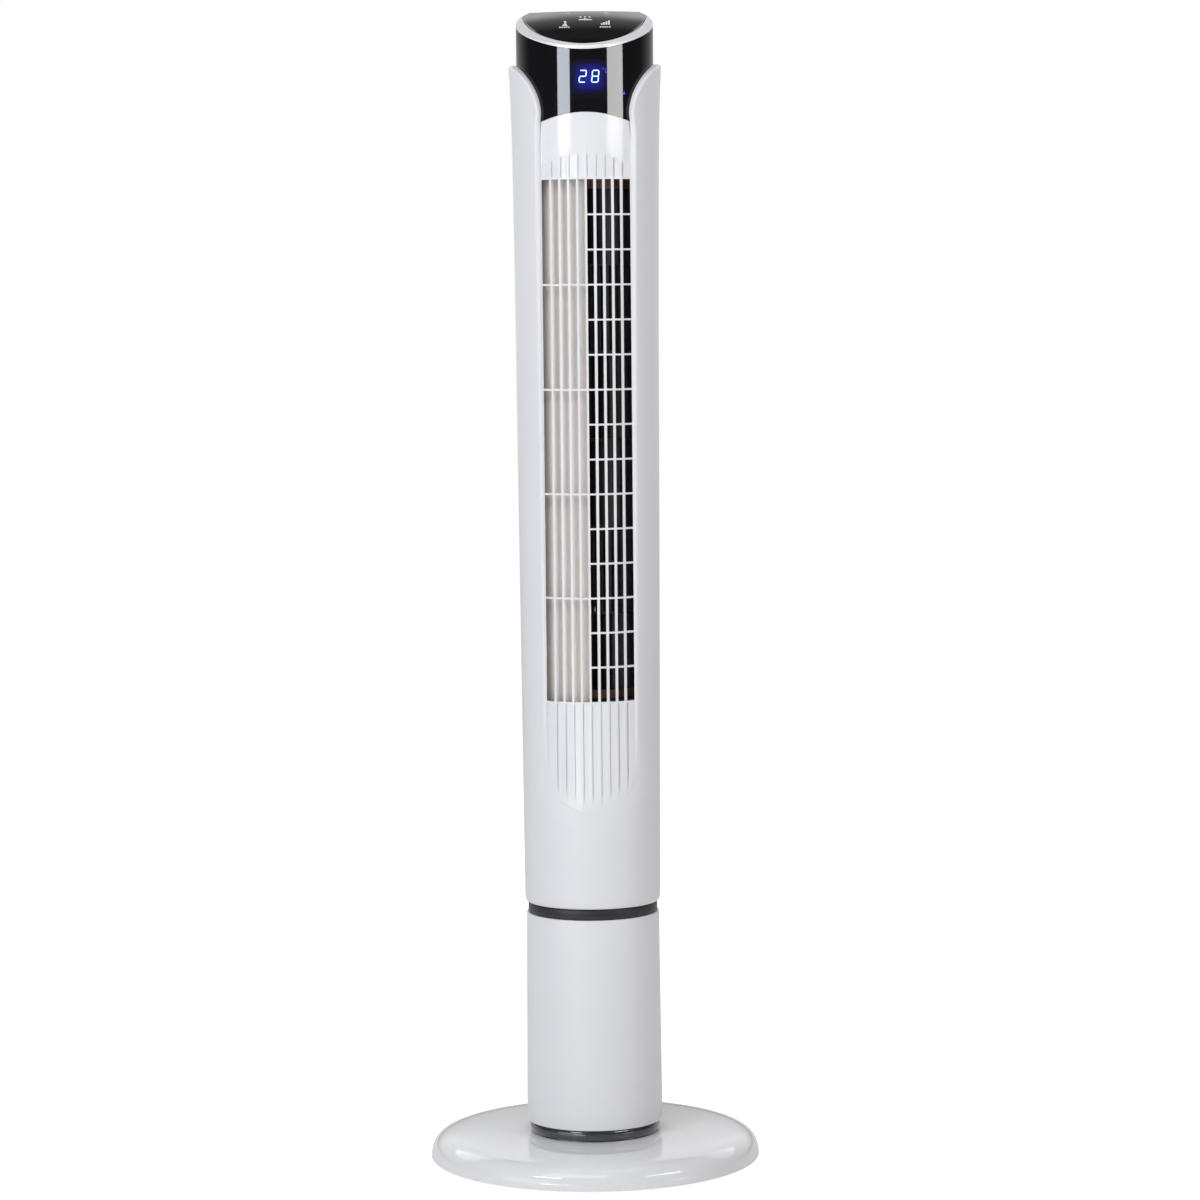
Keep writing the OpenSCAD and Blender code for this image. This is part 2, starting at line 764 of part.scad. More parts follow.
module motor_stator() {
    color(steel) on_fan_axis() difference() {
        translate([0, 0, stator_low]) hollow(stator_r, rotor_r + 0.6, stator_high - stator_low - 8);
        for (i = [0 : 11]) at_angle(i * 30, 24.5) translate([0, 0, 380]) cylinder(r = 2.4, h = 80);
    }
}

module motor_windings() {
    color(copper) on_fan_axis() {
        ring(22, 28, stator_low - 5, stator_low - 0.1);
        ring(22, 28, stator_high - 7.9, stator_high - 3);
        for (i = [0 : 11]) at_angle(i * 30, 24.5) translate([0, 0, stator_low - 1])
            cylinder(r = 2.2, h = stator_high - stator_low - 6);
    }
}

module motor_bearings() {
    color(steel) on_fan_axis() {
        for (z = [motor_z + 1, motor_top - 7]) ring(shaft_r + 0.04, 8, z, z + 6);
    }
}

module motor_screws() {
    color(steel) on_fan_axis() for (i = [0 : 3]) at_angle(i * 90 + 45, motor_screw_r)
        translate([0, 0, motor_z + 6]) screw(1.9, motor_top + 2.6 - motor_z - 6, 3.6, 2.4);
}

module motor_capacitor() {
    color(dark) translate([-18, 34, 310]) cube([36, 18, 26]);
    color(copper) for (x = [-8, 8]) translate([x, 43, 336 - eps]) cylinder(r = 1, h = 6);
}

// ---- Upper tower structure ----

module bearing_bridge() {
    color(white) difference() {
        union() {
            ring(20, 60, duct_high, duct_high + 4);
            on_fan_axis() translate([0, 0, duct_high]) cylinder(r = 22, h = 4);
            on_fan_axis() translate([0, 0, duct_high + 3]) cylinder(r = 9, h = 5);
            for (a = [30, 150, 210, 330]) at_angle(a, 0)
                translate([24, -2, duct_high + 3]) cube([34, 4, 5]);
        }
        on_fan_axis() translate([0, 0, duct_high - 1]) cylinder(r = 6.05, h = 20);
    }
}

module top_bush() {
    color(brass) on_fan_axis() ring(3.05, 6, duct_high, duct_high + 8);
}

module carry_handle() {
    r = body_radius(1030) - 0.2;
    color(white) difference() {
        intersection() {
            translate([-44.5, 45, 1016]) cube([89, 40, 32.5]);
            cylinder(r = r, h = 1200);
        }
        translate([-42, 47.5, 1018.5]) cube([84, 40, 27.5]);
    }
}

// ---- Head ----

// Solid under the slanted top: front plane rises to the ridge, rear plane falls behind it.
module under_top(drop) {
    front = [[-90, slant_z - 90 * tan(slant_a) - drop], [ridge_y, slant_z + ridge_y * tan(slant_a) - drop],
        [90, slant_z + ridge_y * tan(slant_a) - (90 - ridge_y) * tan(rear_a) - drop]];
    rotate([0, 0, 90]) rotate([90, 0, 0]) translate([0, 0, -100]) linear_extrude(height = 200)
        polygon(concat([[90, 900], [-90, 900]], front));
}

module head_shell() {
    side = tab_half - wing_half + 0.3;
    color(black) difference() {
        intersection() {
            union() {
                ring(head_r - head_wall, head_r, head_z, 1180);
                ring(head_r - 8, head_r, head_z, head_z + 3);
            }
            under_top(0);
        }
        front_prism(concat(panel_half(side, 0.15), mirrored(panel_half(side, 0.15))), -100, -20);
        window_zone(24, 1074, 1114);
        led_hole(2);
        front_top_zone(-rim_t - 0.1);
    }
    color(black) difference() {
        intersection() {
            translate([0, 0, 1100]) cylinder(r = head_r - eps, h = 80);
            under_top(0);
            translate([-100, ridge_y + gap, 1000]) cube([200, 60, 300]);
        }
        under_top(head_wall);
    }
}

// Everything above the control panel bed in front of the ridge.
module front_top_zone(level) {
    intersection() {
        difference() {
            translate([0, 0, 1080]) cylinder(r = 90, h = 120);
            under_top(-level);
        }
        translate([-100, -100, 1000]) cube([200, 100 + ridge_y + 0.2, 300]);
    }
}

module window_zone(half, z0, z1) {
    translate([-half, -80, z0]) cube([2 * half, 40, z1 - z0]);
}

module led_hole(r) {
    at_angle(-56, 50, 1080.6) rotate([0, 90, 0]) cylinder(r = r, h = 30);
}

module display_window() {
    color(black) intersection() {
        ring(head_r - 2, head_r, 1074.1, 1113.9);
        window_zone(23.9, 1074.1, 1113.9);
    }
}

// Seven segments in the order top, upper right, lower right, bottom, lower left, upper left, middle.
module digit(x, lit) {
    s = 1.5;
    w = digit_w;
    h = digit_h;
    translate([x, 0, digit_z]) {
        if (lit[0]) translate([-w / 2 + s / 2, 0, h / 2 - s]) cube([w - s, 1.9, s]);
        if (lit[1]) translate([w / 2 - s, 0, 0.1]) cube([s, 1.9, h / 2 - s / 2]);
        if (lit[2]) translate([w / 2 - s, 0, -h / 2 + s / 2 - 0.1]) cube([s, 1.9, h / 2 - s / 2]);
        if (lit[3]) translate([-w / 2 + s / 2, 0, -h / 2]) cube([w - s, 1.9, s]);
        if (lit[4]) translate([-w / 2, 0, -h / 2 + s / 2 - 0.1]) cube([s, 1.9, h / 2 - s / 2]);
        if (lit[5]) translate([-w / 2, 0, 0.1]) cube([s, 1.9, h / 2 - s / 2]);
        if (lit[6]) translate([-w / 2 + s / 2, 0, -s / 2]) cube([w - s, 1.9, s]);
    }
}

module display_segments() {
    color(cyan) translate([2.5, -65.4, 0]) {
        digit(-6.3, [1, 1, 0, 1, 1, 0, 1]);
        digit(6.3, [1, 1, 1, 1, 1, 1, 1]);
    }
}

module indicator_led() {
    color([0.35, 0.3, 1]) at_angle(-56, 62, 1080.6) rotate([0, 90, 0]) {
        cylinder(r = 1.9, h = head_r - 62 - 0.4);
        cylinder(r = 2.6, h = 2.5);
    }
}

module display_board() {
    color(green) translate([-28, -56, 1072]) cube([56, 1.6, 42]);
    color(dark) translate([-14, -63.4, 1086]) cube([34, 7.3, 22]);
}

module top_rim() {
    color(silver) intersection() {
        difference() {
            ring(57, head_r, 1100, 1190);
            under_top(rim_t);
            difference() {
                translate([0, 0, 1090]) cylinder(r = rim_in, h = 110);
                under_top(2.45);
            }
        }
        under_top(-0.6);
        translate([-100, -100, 1000]) cube([200, 100 + ridge_y, 300]);
    }
}

module control_panel() {
    color(black) intersection() {
        difference() {
            translate([0, 0, 1100]) cylinder(r = rim_in - 0.2, h = 90);
            under_top(2.4);
        }
        under_top(0);
        translate([-100, -100, 1000]) cube([200, 100 + ridge_y, 300]);
    }
}

module on_slant(drop) {
    translate([0, 0, slant_z]) rotate([slant_a, 0, 0]) translate([0, 0, -drop]) children();
}

module control_board() {
    color(green) on_slant(11) translate([-34, -36, 0]) cube([68, 56, 1.6]);
}

module touch_springs() {
    color(steel) for (p = [[-20, 4], [20, 4], [0, 10], [-18, 16], [18, 16]])
        on_slant(9.4) translate([p[0], p[1], 0]) hollow(3, 2.2, 7.1);
}

// ---- Wiring ----

// Flat cable between two points at one height.
module ribbon(p, q, z) {
    d = q - p;
    translate([p[0], p[1], z]) rotate([0, 0, atan2(d[1], d[0])])
        translate([-0.4, -0.4, 0]) cube([norm(d) + 0.8, 0.8, 8]);
}

module control_cable() {
    side = 62 * [cos(195), sin(195)];
    color(dark) {
        ribbon([-30, -29.9], side, 352);
        rotate([0, 0, 195]) translate([61.6, -4, 354]) cube([0.8, 8, 676]);
        ribbon(side, [-30, -8], 1022);
        translate([-34, -8.4, 1022.1]) cube([8, 0.8, 112]);
    }
}

module motor_leads() {
    color(copper) for (x = [6, 10]) translate([x, -28, 366])
        cylinder(r = 1, h = motor_z + 6 - 366);
}

// ---- Impeller ----

module impeller_blade(h) {
    translate([impeller_r - blade_depth / 2 - 0.5, 0, 0]) rotate([0, 0, 28])
        translate([-blade_depth / 2, -0.5, 0]) cube([blade_depth, 1, h]);
}

module impeller() {
    color(dark) on_fan_axis() difference() {
        union() {
            for (s = [0 : section_count]) {
                z = impeller_low + s * section_h - (s == section_count ? disc_t : 0);
                if (s == 0) translate([0, 0, z]) hollow(impeller_r, shaft_r + 0.02, disc_t);
                else if (s == section_count) translate([0, 0, z]) hollow(impeller_r, 3.02, disc_t);
                else ring(impeller_r - blade_depth - 3, impeller_r, z, z + disc_t);
            }
            translate([0, 0, impeller_low - 6]) hollow(10, shaft_r + 0.02, 16);
            translate([0, 0, impeller_high - 10]) hollow(8, 3.02, 10);
            for (i = [0 : blade_count - 1]) rotate([0, 0, i * 360 / blade_count])
                translate([0, 0, impeller_low + 0.5])
                    impeller_blade(impeller_high - impeller_low - 1);
        }
        translate([0, 0, impeller_low - 3]) rotate([0, 90, 0]) cylinder(r = 1.55, h = 20);
    }
}

module motor_shaft() {
    color(steel) on_fan_axis() translate([0, 0, motor_z - 2])
        cylinder(r = shaft_r, h = impeller_low + 8 - motor_z + 2);
}

module motor_rotor() {
    color(steel) on_fan_axis() translate([0, 0, stator_low])
        hollow(rotor_r, shaft_r + 0.02, stator_high - stator_low - 8);
}

module impeller_stub() {
    color(steel) on_fan_axis() translate([0, 0, impeller_high - 12])
        cylinder(r = 3, h = duct_high + 8 - impeller_high + 12);
}

module hub_screw() {
    color(steel) on_fan_axis() translate([shaft_r + 0.4, 0, impeller_low - 3]) rotate([0, 90, 0])
        cylinder(r = 1.5, h = 7);
}

// ---- Pinion ----

module drive_pinion() {
    color(white) translate([0, pinion_y, gear_z + 0.6]) difference() {
        rotate([0, 0, -90 + 180 / pinion_teeth]) linear_extrude(height = gear_t - 1)
            polygon(gear_points(pinion_teeth, gear_m, 0.12));
        translate([0, 0, -1]) cylinder(r = osc_shaft_r + 0.02, h = 20);
    }
}

module osc_shaft() {
    color(steel) translate([0, pinion_y, gear_z + 0.6]) cylinder(r = osc_shaft_r, h = 27);
}

base_shell();
base_cover();
cover_screws();
base_weight();
weight_screws();
rubber_feet();
cord_gland();
base_collar();
column_foot();
column_nut();
base_screws();
column_tube();
column_screws();
seam_ring();
swivel_plate();
swivel_screws();
fixed_gear();
thrust_washer();
retaining_clip();
body_floor();
floor_screws();
front_housing();
rear_housing();
housing_screws();
front_grille();
intake_grille();
air_duct();
osc_motor();
osc_motor_screws();
power_board();
motor_plate();
motor_lower_bell();
motor_upper_bell();
motor_stator();
motor_windings();
motor_bearings();
motor_screws();
motor_capacitor();
bearing_bridge();
top_bush();
carry_handle();
head_shell();
display_window();
display_segments();
indicator_led();
display_board();
top_rim();
control_panel();
control_board();
touch_springs();
control_cable();
motor_leads();
impeller();
motor_shaft();
motor_rotor();
impeller_stub();
hub_screw();
drive_pinion();
osc_shaft();
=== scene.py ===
import json
import math

import bmesh
import bpy
from mathutils import Matrix, Vector


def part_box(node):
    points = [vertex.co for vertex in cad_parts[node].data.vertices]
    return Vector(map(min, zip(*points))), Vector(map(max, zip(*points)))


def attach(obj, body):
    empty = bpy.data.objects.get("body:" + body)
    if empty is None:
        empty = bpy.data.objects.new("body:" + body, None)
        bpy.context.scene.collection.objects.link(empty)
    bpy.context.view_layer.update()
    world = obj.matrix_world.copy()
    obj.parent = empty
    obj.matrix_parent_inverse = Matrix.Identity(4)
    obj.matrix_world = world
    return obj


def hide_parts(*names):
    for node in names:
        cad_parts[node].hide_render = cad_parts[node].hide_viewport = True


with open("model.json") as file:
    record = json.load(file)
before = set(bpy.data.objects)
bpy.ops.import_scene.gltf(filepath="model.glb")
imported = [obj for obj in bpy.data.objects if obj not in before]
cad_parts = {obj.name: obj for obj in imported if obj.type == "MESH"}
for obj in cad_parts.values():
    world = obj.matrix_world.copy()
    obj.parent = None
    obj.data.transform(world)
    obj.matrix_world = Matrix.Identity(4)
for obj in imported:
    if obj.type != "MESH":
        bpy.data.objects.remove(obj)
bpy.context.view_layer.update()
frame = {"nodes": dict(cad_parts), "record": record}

MM = 0.001
PI = math.pi


def mm_box(node):
    low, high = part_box(node)
    return low / MM, high / MM


def heights(node):
    low, high = mm_box(node)
    return low.z, high.z


# ---- Sizes in millimetres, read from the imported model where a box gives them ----

BASE_R = mm_box("base_shell")[1].x
BASE_LOW, BASE_TOP = heights("base_shell")
BASE_WALL = 3.2
COLLAR_LOW, COLLAR_HIGH = heights("base_collar")
COLUMN_LOW, COLUMN_HIGH = heights("column_tube")
COLUMN_R_LOW, COLUMN_R_TOP, COLUMN_WALL = 69.4, 67.6, 2.6
SEAM_LOW, SEAM_HIGH = heights("seam_ring")
SEAM_R = mm_box("seam_ring")[1].x
BODY_LOW, BODY_TOP = heights("front_housing")
SEAM_Y = mm_box("front_housing")[1].y
FLARE_H = 10
FLARE_ROWS = [BODY_LOW + step for step in (0, 0.1, 0.4, 0.9, 1.8, 3.2, 5.2, 7.5, FLARE_H)]
FLARE_Z = FLARE_ROWS[-1]
WING_HALF, WING_LOW, WING_MID = 44.6, 363.4, 408.0
HORN_X, HORN_Z = 72.6, 1057.0
COLLAR_R = 69.3
PANEL_R = -mm_box("front_grille")[0].y
PANEL_LOW, ARC_Z = heights("front_grille")
ARC_HALF, ARC_RISE = 45.5, 9.8
OUTLET_LOW, OUTLET_HIGH, OUTLET_HALF = 475.8, 996.2, 43.9
BARS, BAR_W, RIB_H, ROWS = 10, 2.2, 1.8, 15
INTAKE_LOW, INTAKE_HIGH = heights("intake_grille")
HANDLE_LOW, HANDLE_HIGH = mm_box("carry_handle")
HEAD_R = mm_box("head_shell")[1].x
HEAD_LOW = mm_box("head_shell")[0].z
SLANT_Z, SLANT = 1152.2, math.tan(math.radians(20))
RIDGE_Y, REAR_SLOPE = 41.0, math.tan(math.radians(25))
TRIM_HALF, TRIM_BACK, TRIM_REACH, TRIM_POWER = 63.0, 30.0, 91.8, 1.87
TRIM_GAP = 0.4


# ---- Mesh helpers ----

def smoothstep(low, high, value):
    t = min(1.0, max(0.0, (value - low) / (high - low)))
    return t * t * (3 - 2 * t)


def spread(a, b, n):
    return [a + (b - a) * i / n for i in range(n + 1)]


def polar(r, front_angle, z):
    """Point at an angle from the front, -Y, counted toward +X."""
    return (r * math.sin(front_angle), -r * math.cos(front_angle), z)


def add_object(name, data):
    made = bpy.data.objects.new(name, data)
    bpy.context.scene.collection.objects.link(made)
    return made


def mesh_of(name, verts, faces):
    """Mesh from points in millimetres."""
    mesh = bpy.data.meshes.new(name)
    mesh.from_pydata([tuple(c * MM for c in v) for v in verts], [], faces)
    return mesh


def finish_mesh(name, shape, body, slot, replaces=(), material=None, sharp=30, bevel=0, bevel_from=40):
    """Piece from (points, faces), with its corners bevelled or left crisp above the sharp angle."""
    mesh = mesh_of(name, *shape)
    bm = bmesh.new()
    bm.from_mesh(mesh)
    bmesh.ops.remove_doubles(bm, verts=bm.verts, dist=1e-6)
    bmesh.ops.dissolve_degenerate(bm, dist=1e-7, edges=bm.edges)
    bmesh.ops.recalc_face_normals(bm, faces=bm.faces)
    bm.to_mesh(mesh)
    bm.free()
    mesh.polygons.foreach_set("use_smooth", [True] * len(mesh.polygons))
    piece = add_object(name, mesh)
    if bevel:
        edge = piece.modifiers.new("rounded", "BEVEL")
        edge.width = bevel * MM
        edge.segments = 2
        edge.limit_method = "ANGLE"
        edge.angle_limit = math.radians(bevel_from)
        edge.harden_normals = True
        edge.use_clamp_overlap = True
    else:
        mesh.set_sharp_from_angle(angle=math.radians(sharp))
    mesh.materials.append(MATERIALS[material or slot])
    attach(piece, body)
    if replaces:
        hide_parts(*replaces)
    return piece


def slab(outer, inner, solid=None):
    """Closed shell between two grids of points. solid(row, column) is False for an opening."""
    rows, cols = len(outer), len(outer[0])
    verts = [p for row in outer + inner for p in row]
    half = rows * cols

    def filled(i, j):
        return 0 <= i < rows - 1 and 0 <= j < cols - 1 and (solid is None or solid(i, j))

    faces = []
    for i in range(rows - 1):
        for j in range(cols - 1):
            if not filled(i, j):
                continue
            a, d = i * cols + j, (i + 1) * cols + j
            b, c = a + 1, d + 1
            faces.append((a, b, c, d))
            faces.append((d + half, c + half, b + half, a + half))
            for near, p, q in ((filled(i - 1, j), b, a), (filled(i + 1, j), d, c),
                               (filled(i, j - 1), a, d), (filled(i, j + 1), c, b)):
                if not near:
                    faces.append((p, q, q + half, p + half))
    return verts, faces


def columns(loops, closed=True):
    """Closed body through loops of equal length, joined end to end or capped."""
    n, m = len(loops[0]), len(loops)
    verts = [p for loop in loops for p in loop]
    faces = []
    for i in range(m if closed else m - 1):
        k = (i + 1) % m
        faces += [(i * n + j, k * n + j, k * n + (j + 1) % n, i * n + (j + 1) % n) for j in range(n)]
    if not closed:
        faces += [tuple(range(n)), tuple((m - 1) * n + j for j in reversed(range(n)))]
    return verts, faces


def turns(steps):
    return [2 * PI * i / steps for i in range(steps)]


def revolve(profile, steps=192):
    """Ring from a closed profile of (radius, height) points."""
    return columns([[polar(r, a, z) for r, z in profile] for a in turns(steps)])


def join(*parts):
    verts, faces = [], []
    for v, f in parts:
        shift = len(verts)
        verts += v
        faces += [tuple(i + shift for i in face) for face in f]
    return verts, faces


def tube(centre, r_in, r_out, length):
    """Open ring along +Y from a centre point."""
    x, y, z = centre
    section = ((r_in, 0), (r_out, 0), (r_out, length), (r_in, length))
    return columns([[(x + r * math.cos(a), y + s, z + r * math.sin(a)) for r, s in section] for a in turns(32)])


def rod(centre, r, length, steps):
    """Closed cylinder along +Y from a centre point."""
    x, y, z = centre
    verts = [(x + r * math.cos(a), y + s, z + r * math.sin(a)) for s in (0, length) for a in turns(steps)]
    faces = [(i, (i + 1) % steps, steps + (i + 1) % steps, steps + i) for i in range(steps)]
    faces += [tuple(range(steps)), tuple(reversed(range(steps, 2 * steps)))]
    return verts, faces


# ---- Materials ----

MATERIALS = {}


def node_material(name):
    """New material, kept in MATERIALS. Gives its node tree, its shader and the object's coordinates."""
    material = bpy.data.materials.new(name)
    material.use_nodes = True
    MATERIALS[name] = material
    tree = material.node_tree
    place = add_node(tree, "TexCoord")
    return tree, tree.nodes["Principled BSDF"], place.outputs["Object"]


def put(node, **values):
    """Sets or links the inputs whose names have spaces for underscores."""
    for key, value in values.items():
        socket = node.inputs[key.replace("_", " ")]
        if isinstance(value, bpy.types.NodeSocket):
            node.id_data.links.new(value, socket)
        else:
            socket.default_value = value


def add_node(tree, kind, **values):
    node = tree.nodes.new("ShaderNode" + kind)
    put(node, **values)
    return node


def noise(tree, place, scale, detail=3.0, stretch=None):
    if stretch:
        place = add_node(tree, "Mapping", Vector=place, Scale=stretch).outputs["Vector"]
    return add_node(tree, "TexNoise", Vector=place, Scale=scale, Detail=detail).outputs["Fac"]


def ramp(tree, source, low, high, colour_low, colour_high, middle=None):
    """Colour between two values of a factor. middle is an optional (position, colour) between them."""
    node = add_node(tree, "ValToRGB", Fac=source)
    for step, position, colour in zip(node.color_ramp.elements, (low, high), (colour_low, colour_high)):
        step.position = position
        step.color = (*colour, 1)
    if middle:
        node.color_ramp.elements.new(middle[0]).color = (*middle[1], 1)
    return node.outputs["Color"]


def remap(tree, source, low, high, to_low, to_high):
    return add_node(tree, "MapRange", Value=source, From_Min=low, From_Max=high, To_Min=to_low,
                    To_Max=to_high).outputs["Result"]


def bump(tree, height, depth):
    """Normal of a surface raised by up to a depth in metres."""
    return add_node(tree, "Bump", Height=height, Distance=depth, Strength=1.0).outputs["Normal"]


def shade(colour, factor):
    return tuple(min(1.0, c * factor) for c in colour)


def moulded(name, colour, rough, vary, rough_vary, grain, grain_depth, coat=0.0, metallic=0.0,
            specular=0.5):
    """Injection-moulded, painted or plated surface: slight mottling, patchy gloss and a fine grain."""
    tree, shader, place = node_material(name)
    mottled = noise(tree, place, 9.0, 5.0)
    put(shader, Base_Color=ramp(tree, mottled, 0.3, 0.7, shade(colour, 1 - vary), shade(colour, 1 + vary)))
    smear = noise(tree, place, 36.0, 4.0)
    put(shader, Roughness=remap(tree, smear, 0.3, 0.7, rough - rough_vary, rough + rough_vary),
        Normal=bump(tree, noise(tree, place, grain, 2.0), grain_depth),
        Metallic=metallic, Specular_IOR_Level=specular, Coat_Weight=coat, Coat_Roughness=0.05)


def glowing(name, colour, strength):
    """Lit lens with a slightly uneven light behind it."""
    tree, shader, place = node_material(name)
    uneven = noise(tree, place, 400, 2.0)
    put(shader, Emission_Color=ramp(tree, uneven, 0.2, 0.8, shade(colour, 0.85), colour),
        Roughness=remap(tree, uneven, 0.2, 0.8, 0.25, 0.4),
        Base_Color=(*shade(colour, 0.4), 1), Emission_Strength=strength)


GLOW_X, GLOW_Z, GLOW_W, GLOW_H = 4.4, 1096.6, 21.0, 18.0


def display_glass(name):
    """Smoked pane whose middle is lit blue by the display behind it."""
    tree, shader, place = node_material(name)
    centre = add_node(tree, "Mapping", Vector=place, Scale=(1 / (GLOW_W * MM), 0, 1 / (GLOW_H * MM)),
                      Location=(-GLOW_X * MM / (GLOW_W * MM), 0, -GLOW_Z * MM / (GLOW_H * MM)))
    square = add_node(tree, "VectorMath")
    square.operation = "MULTIPLY"
    for side in (0, 1):
        tree.links.new(centre.outputs["Vector"], square.inputs[side])
    distance = add_node(tree, "VectorMath")
    distance.operation = "LENGTH"
    tree.links.new(square.outputs["Vector"], distance.inputs[0])
    glow = remap(tree, distance.outputs["Value"], 0.0, 1.0, 1.0, 0.0)
    put(shader, Emission_Color=ramp(tree, glow, 0.0, 1.0, (0, 0, 0), (0.016, 0.014, 0.30),
                                    (0.45, (0.003, 0.003, 0.045))),
        Roughness=remap(tree, noise(tree, place, 60), 0.3, 0.7, 0.03, 0.07),
        Emission_Strength=1.0, Base_Color=(0.006, 0.006, 0.009, 1))


def touch_surface(name):
    """Gloss black touch panel with a faint haze of finger marks."""
    tree, shader, place = node_material(name)
    smears = noise(tree, place, 45, 6.0, (1.0, 0.6, 1.0))
    put(shader, Base_Color=ramp(tree, smears, 0.35, 0.75, (0.003, 0.003, 0.0035), (0.006, 0.0055, 0.006)),
        Roughness=remap(tree, smears, 0.35, 0.75, 0.04, 0.09),
        Normal=bump(tree, noise(tree, place, 30), 1e-5))


def brushed(name, colour, rough, lengthwise):
    """Machined or rolled metal with fine lines across its length."""
    tree, shader, place = node_material(name)
    lines = noise(tree, place, 350, 4.0, (1, 1, lengthwise))
    put(shader, Base_Color=ramp(tree, lines, 0.3, 0.7, shade(colour, 0.86), shade(colour, 1.06)),
        Roughness=remap(tree, lines, 0.3, 0.7, rough - 0.06, rough + 0.1),
        Normal=bump(tree, lines, 1.2e-5), Metallic=1.0)


def board(name):
    """Green solder mask with copper tracks showing through it."""
    tree, shader, place = node_material(name)
    tracks = add_node(tree, "TexBrick", Vector=place, Scale=190, Mortar_Size=0.06, Mortar=(0.03, 0.24, 0.09, 1),
                      Color1=(0.012, 0.12, 0.045, 1), Color2=(0.014, 0.14, 0.055, 1))
    put(shader, Base_Color=tracks.outputs["Color"],
        Roughness=remap(tree, noise(tree, place, 300), 0.3, 0.7, 0.25, 0.4),
        Normal=bump(tree, tracks.outputs["Fac"], 2e-5))


# Each line: colour, roughness, how far both vary, then scale and depth of the grain.
moulded("gloss_white", (0.82, 0.82, 0.835), 0.17, 0.006, 0.03, 700, 1e-6, specular=0.35)
moulded("satin_white", (0.80, 0.80, 0.815), 0.36, 0.008, 0.04, 2600, 3e-6, specular=0.4)
moulded("gloss_black", (0.005, 0.005, 0.006), 0.05, 0.1, 0.02, 500, 6e-7)
display_glass("display_black")
touch_surface("panel_black")
moulded("smoke_plastic", (0.04, 0.042, 0.047), 0.18, 0.1, 0.04, 900, 2e-6, coat=1.0)
moulded("black_plastic", (0.022, 0.022, 0.024), 0.42, 0.1, 0.05, 2600, 8e-6)
moulded("dark_plastic", (0.05, 0.05, 0.055), 0.5, 0.1, 0.06, 2200, 1e-5)
moulded("impeller_black", (0.016, 0.016, 0.018), 0.45, 0.15, 0.08, 1500, 1e-5)
moulded("beige_plastic", (0.84, 0.79, 0.735), 0.55, 0.05, 0.06, 2000, 8e-6)
moulded("gear_plastic", (0.78, 0.76, 0.70), 0.4, 0.03, 0.05, 1800, 5e-6)
moulded("silver_trim", (0.92, 0.925, 0.955), 0.26, 0.02, 0.04, 3500, 2e-6, coat=0.3, metallic=0.1)
brushed("steel", (0.56, 0.57, 0.59), 0.32, 14)
moulded("cast_alloy", (0.50, 0.51, 0.53), 0.5, 0.12, 0.1, 900, 6e-5, metallic=0.9)
brushed("brass", (0.62, 0.45, 0.20), 0.35, 10)
brushed("copper", (0.60, 0.24, 0.10), 0.3, 25)
board("circuit_board")
moulded("lead_insulation", (0.42, 0.03, 0.025), 0.45, 0.08, 0.05, 1200, 6e-6)
moulded("rubber", (0.022, 0.022, 0.022), 0.75, 0.2, 0.1, 1400, 3e-5)
glowing("digit_glow", (0.62, 0.90, 1.0), 1.3)
glowing("violet_glow", (0.10, 0.05, 0.95), 0.6)
moulded("print_white", (0.93, 0.94, 0.95), 0.4, 0.03, 0.05, 1500, 1e-6)
moulded("base_gloss_white", (0.83, 0.83, 0.835), 0.045, 0.006, 0.012, 300, 4e-7, specular=0.42)
moulded("wheel_brown", (0.17, 0.085, 0.05), 0.4, 0.15, 0.06, 1500, 6e-6)


# ---- Base, collar, column and seam ring ----

def dome_z(r, rim, low, high):
    edge = max(0.0, 1 - (r / rim) ** 20) ** (1 / 2.2)
    return low + (high - low - 1.8) * edge + 1.8 * (1 - (r / rim) ** 2)


def dome(rim, low, high, start, n):
    points = []
    for i in range(n + 1):
        r = start + (rim - start) * (1 - (1 - i / n) ** 3.2)
        points.append((r, dome_z(r, rim, low, high)))
    return points


HUB_R = 24
NOTCH_HALF, NOTCH_TOP, NOTCH_FROM_R = 6.2, 11.0, 150
FEET, FOOT_RING_R = 6, 150


def make_base():
    """Domed base shell with the notch for the cord gland in its rear rim."""
    outer = dome(BASE_R, BASE_LOW, BASE_TOP, HUB_R, 60)
    inner = dome(BASE_R - BASE_WALL, BASE_LOW, BASE_TOP - BASE_WALL, HUB_R, 30)
    lip = [(outer[-1][0] - 0.25, BASE_LOW), (inner[-1][0] + 0.25, BASE_LOW)]
    outer[-1] = (outer[-1][0], BASE_LOW + 0.35)
    profile = outer + lip + inner[::-1]
    notch = math.asin(NOTCH_HALF / (BASE_R - 1))
    left, right = PI - notch, PI + notch
    angles = [a for a in turns(240) if abs(a - PI) > notch + 0.004]
    angles = sorted(angles + [left, left, PI, right, right])
    first, last = angles.index(left), len(angles) - 1 - angles[::-1].index(right)
    loops = []
    for i, a in enumerate(angles):
        raised = first < i < last
        loops.append([polar(r, a, max(z, NOTCH_TOP) if raised and r > NOTCH_FROM_R else z) for r, z in profile])
    finish_mesh("base_shell_skin", columns(loops), "stand", "gloss_white", ("base_shell",),
                "base_gloss_white", sharp=40)


def make_feet():
    feet = []
    profile = [(0.01, 0.0), (8.4, 0.0), (9.2, 0.25), (9.7, 0.8), (10.0, 1.6), (10.0, 3.2), (3.0, 3.2),
               (3.0, 8.2), (0.01, 8.2)]
    verts, faces = revolve(profile, 40)
    for a in turns(FEET):
        feet.append(([(x + FOOT_RING_R * math.cos(a), y + FOOT_RING_R * math.sin(a), z)
                      for x, y, z in verts], faces))
    finish_mesh("rubber_feet_skin", join(*feet), "stand", "rubber", ("rubber_feet",), sharp=35)


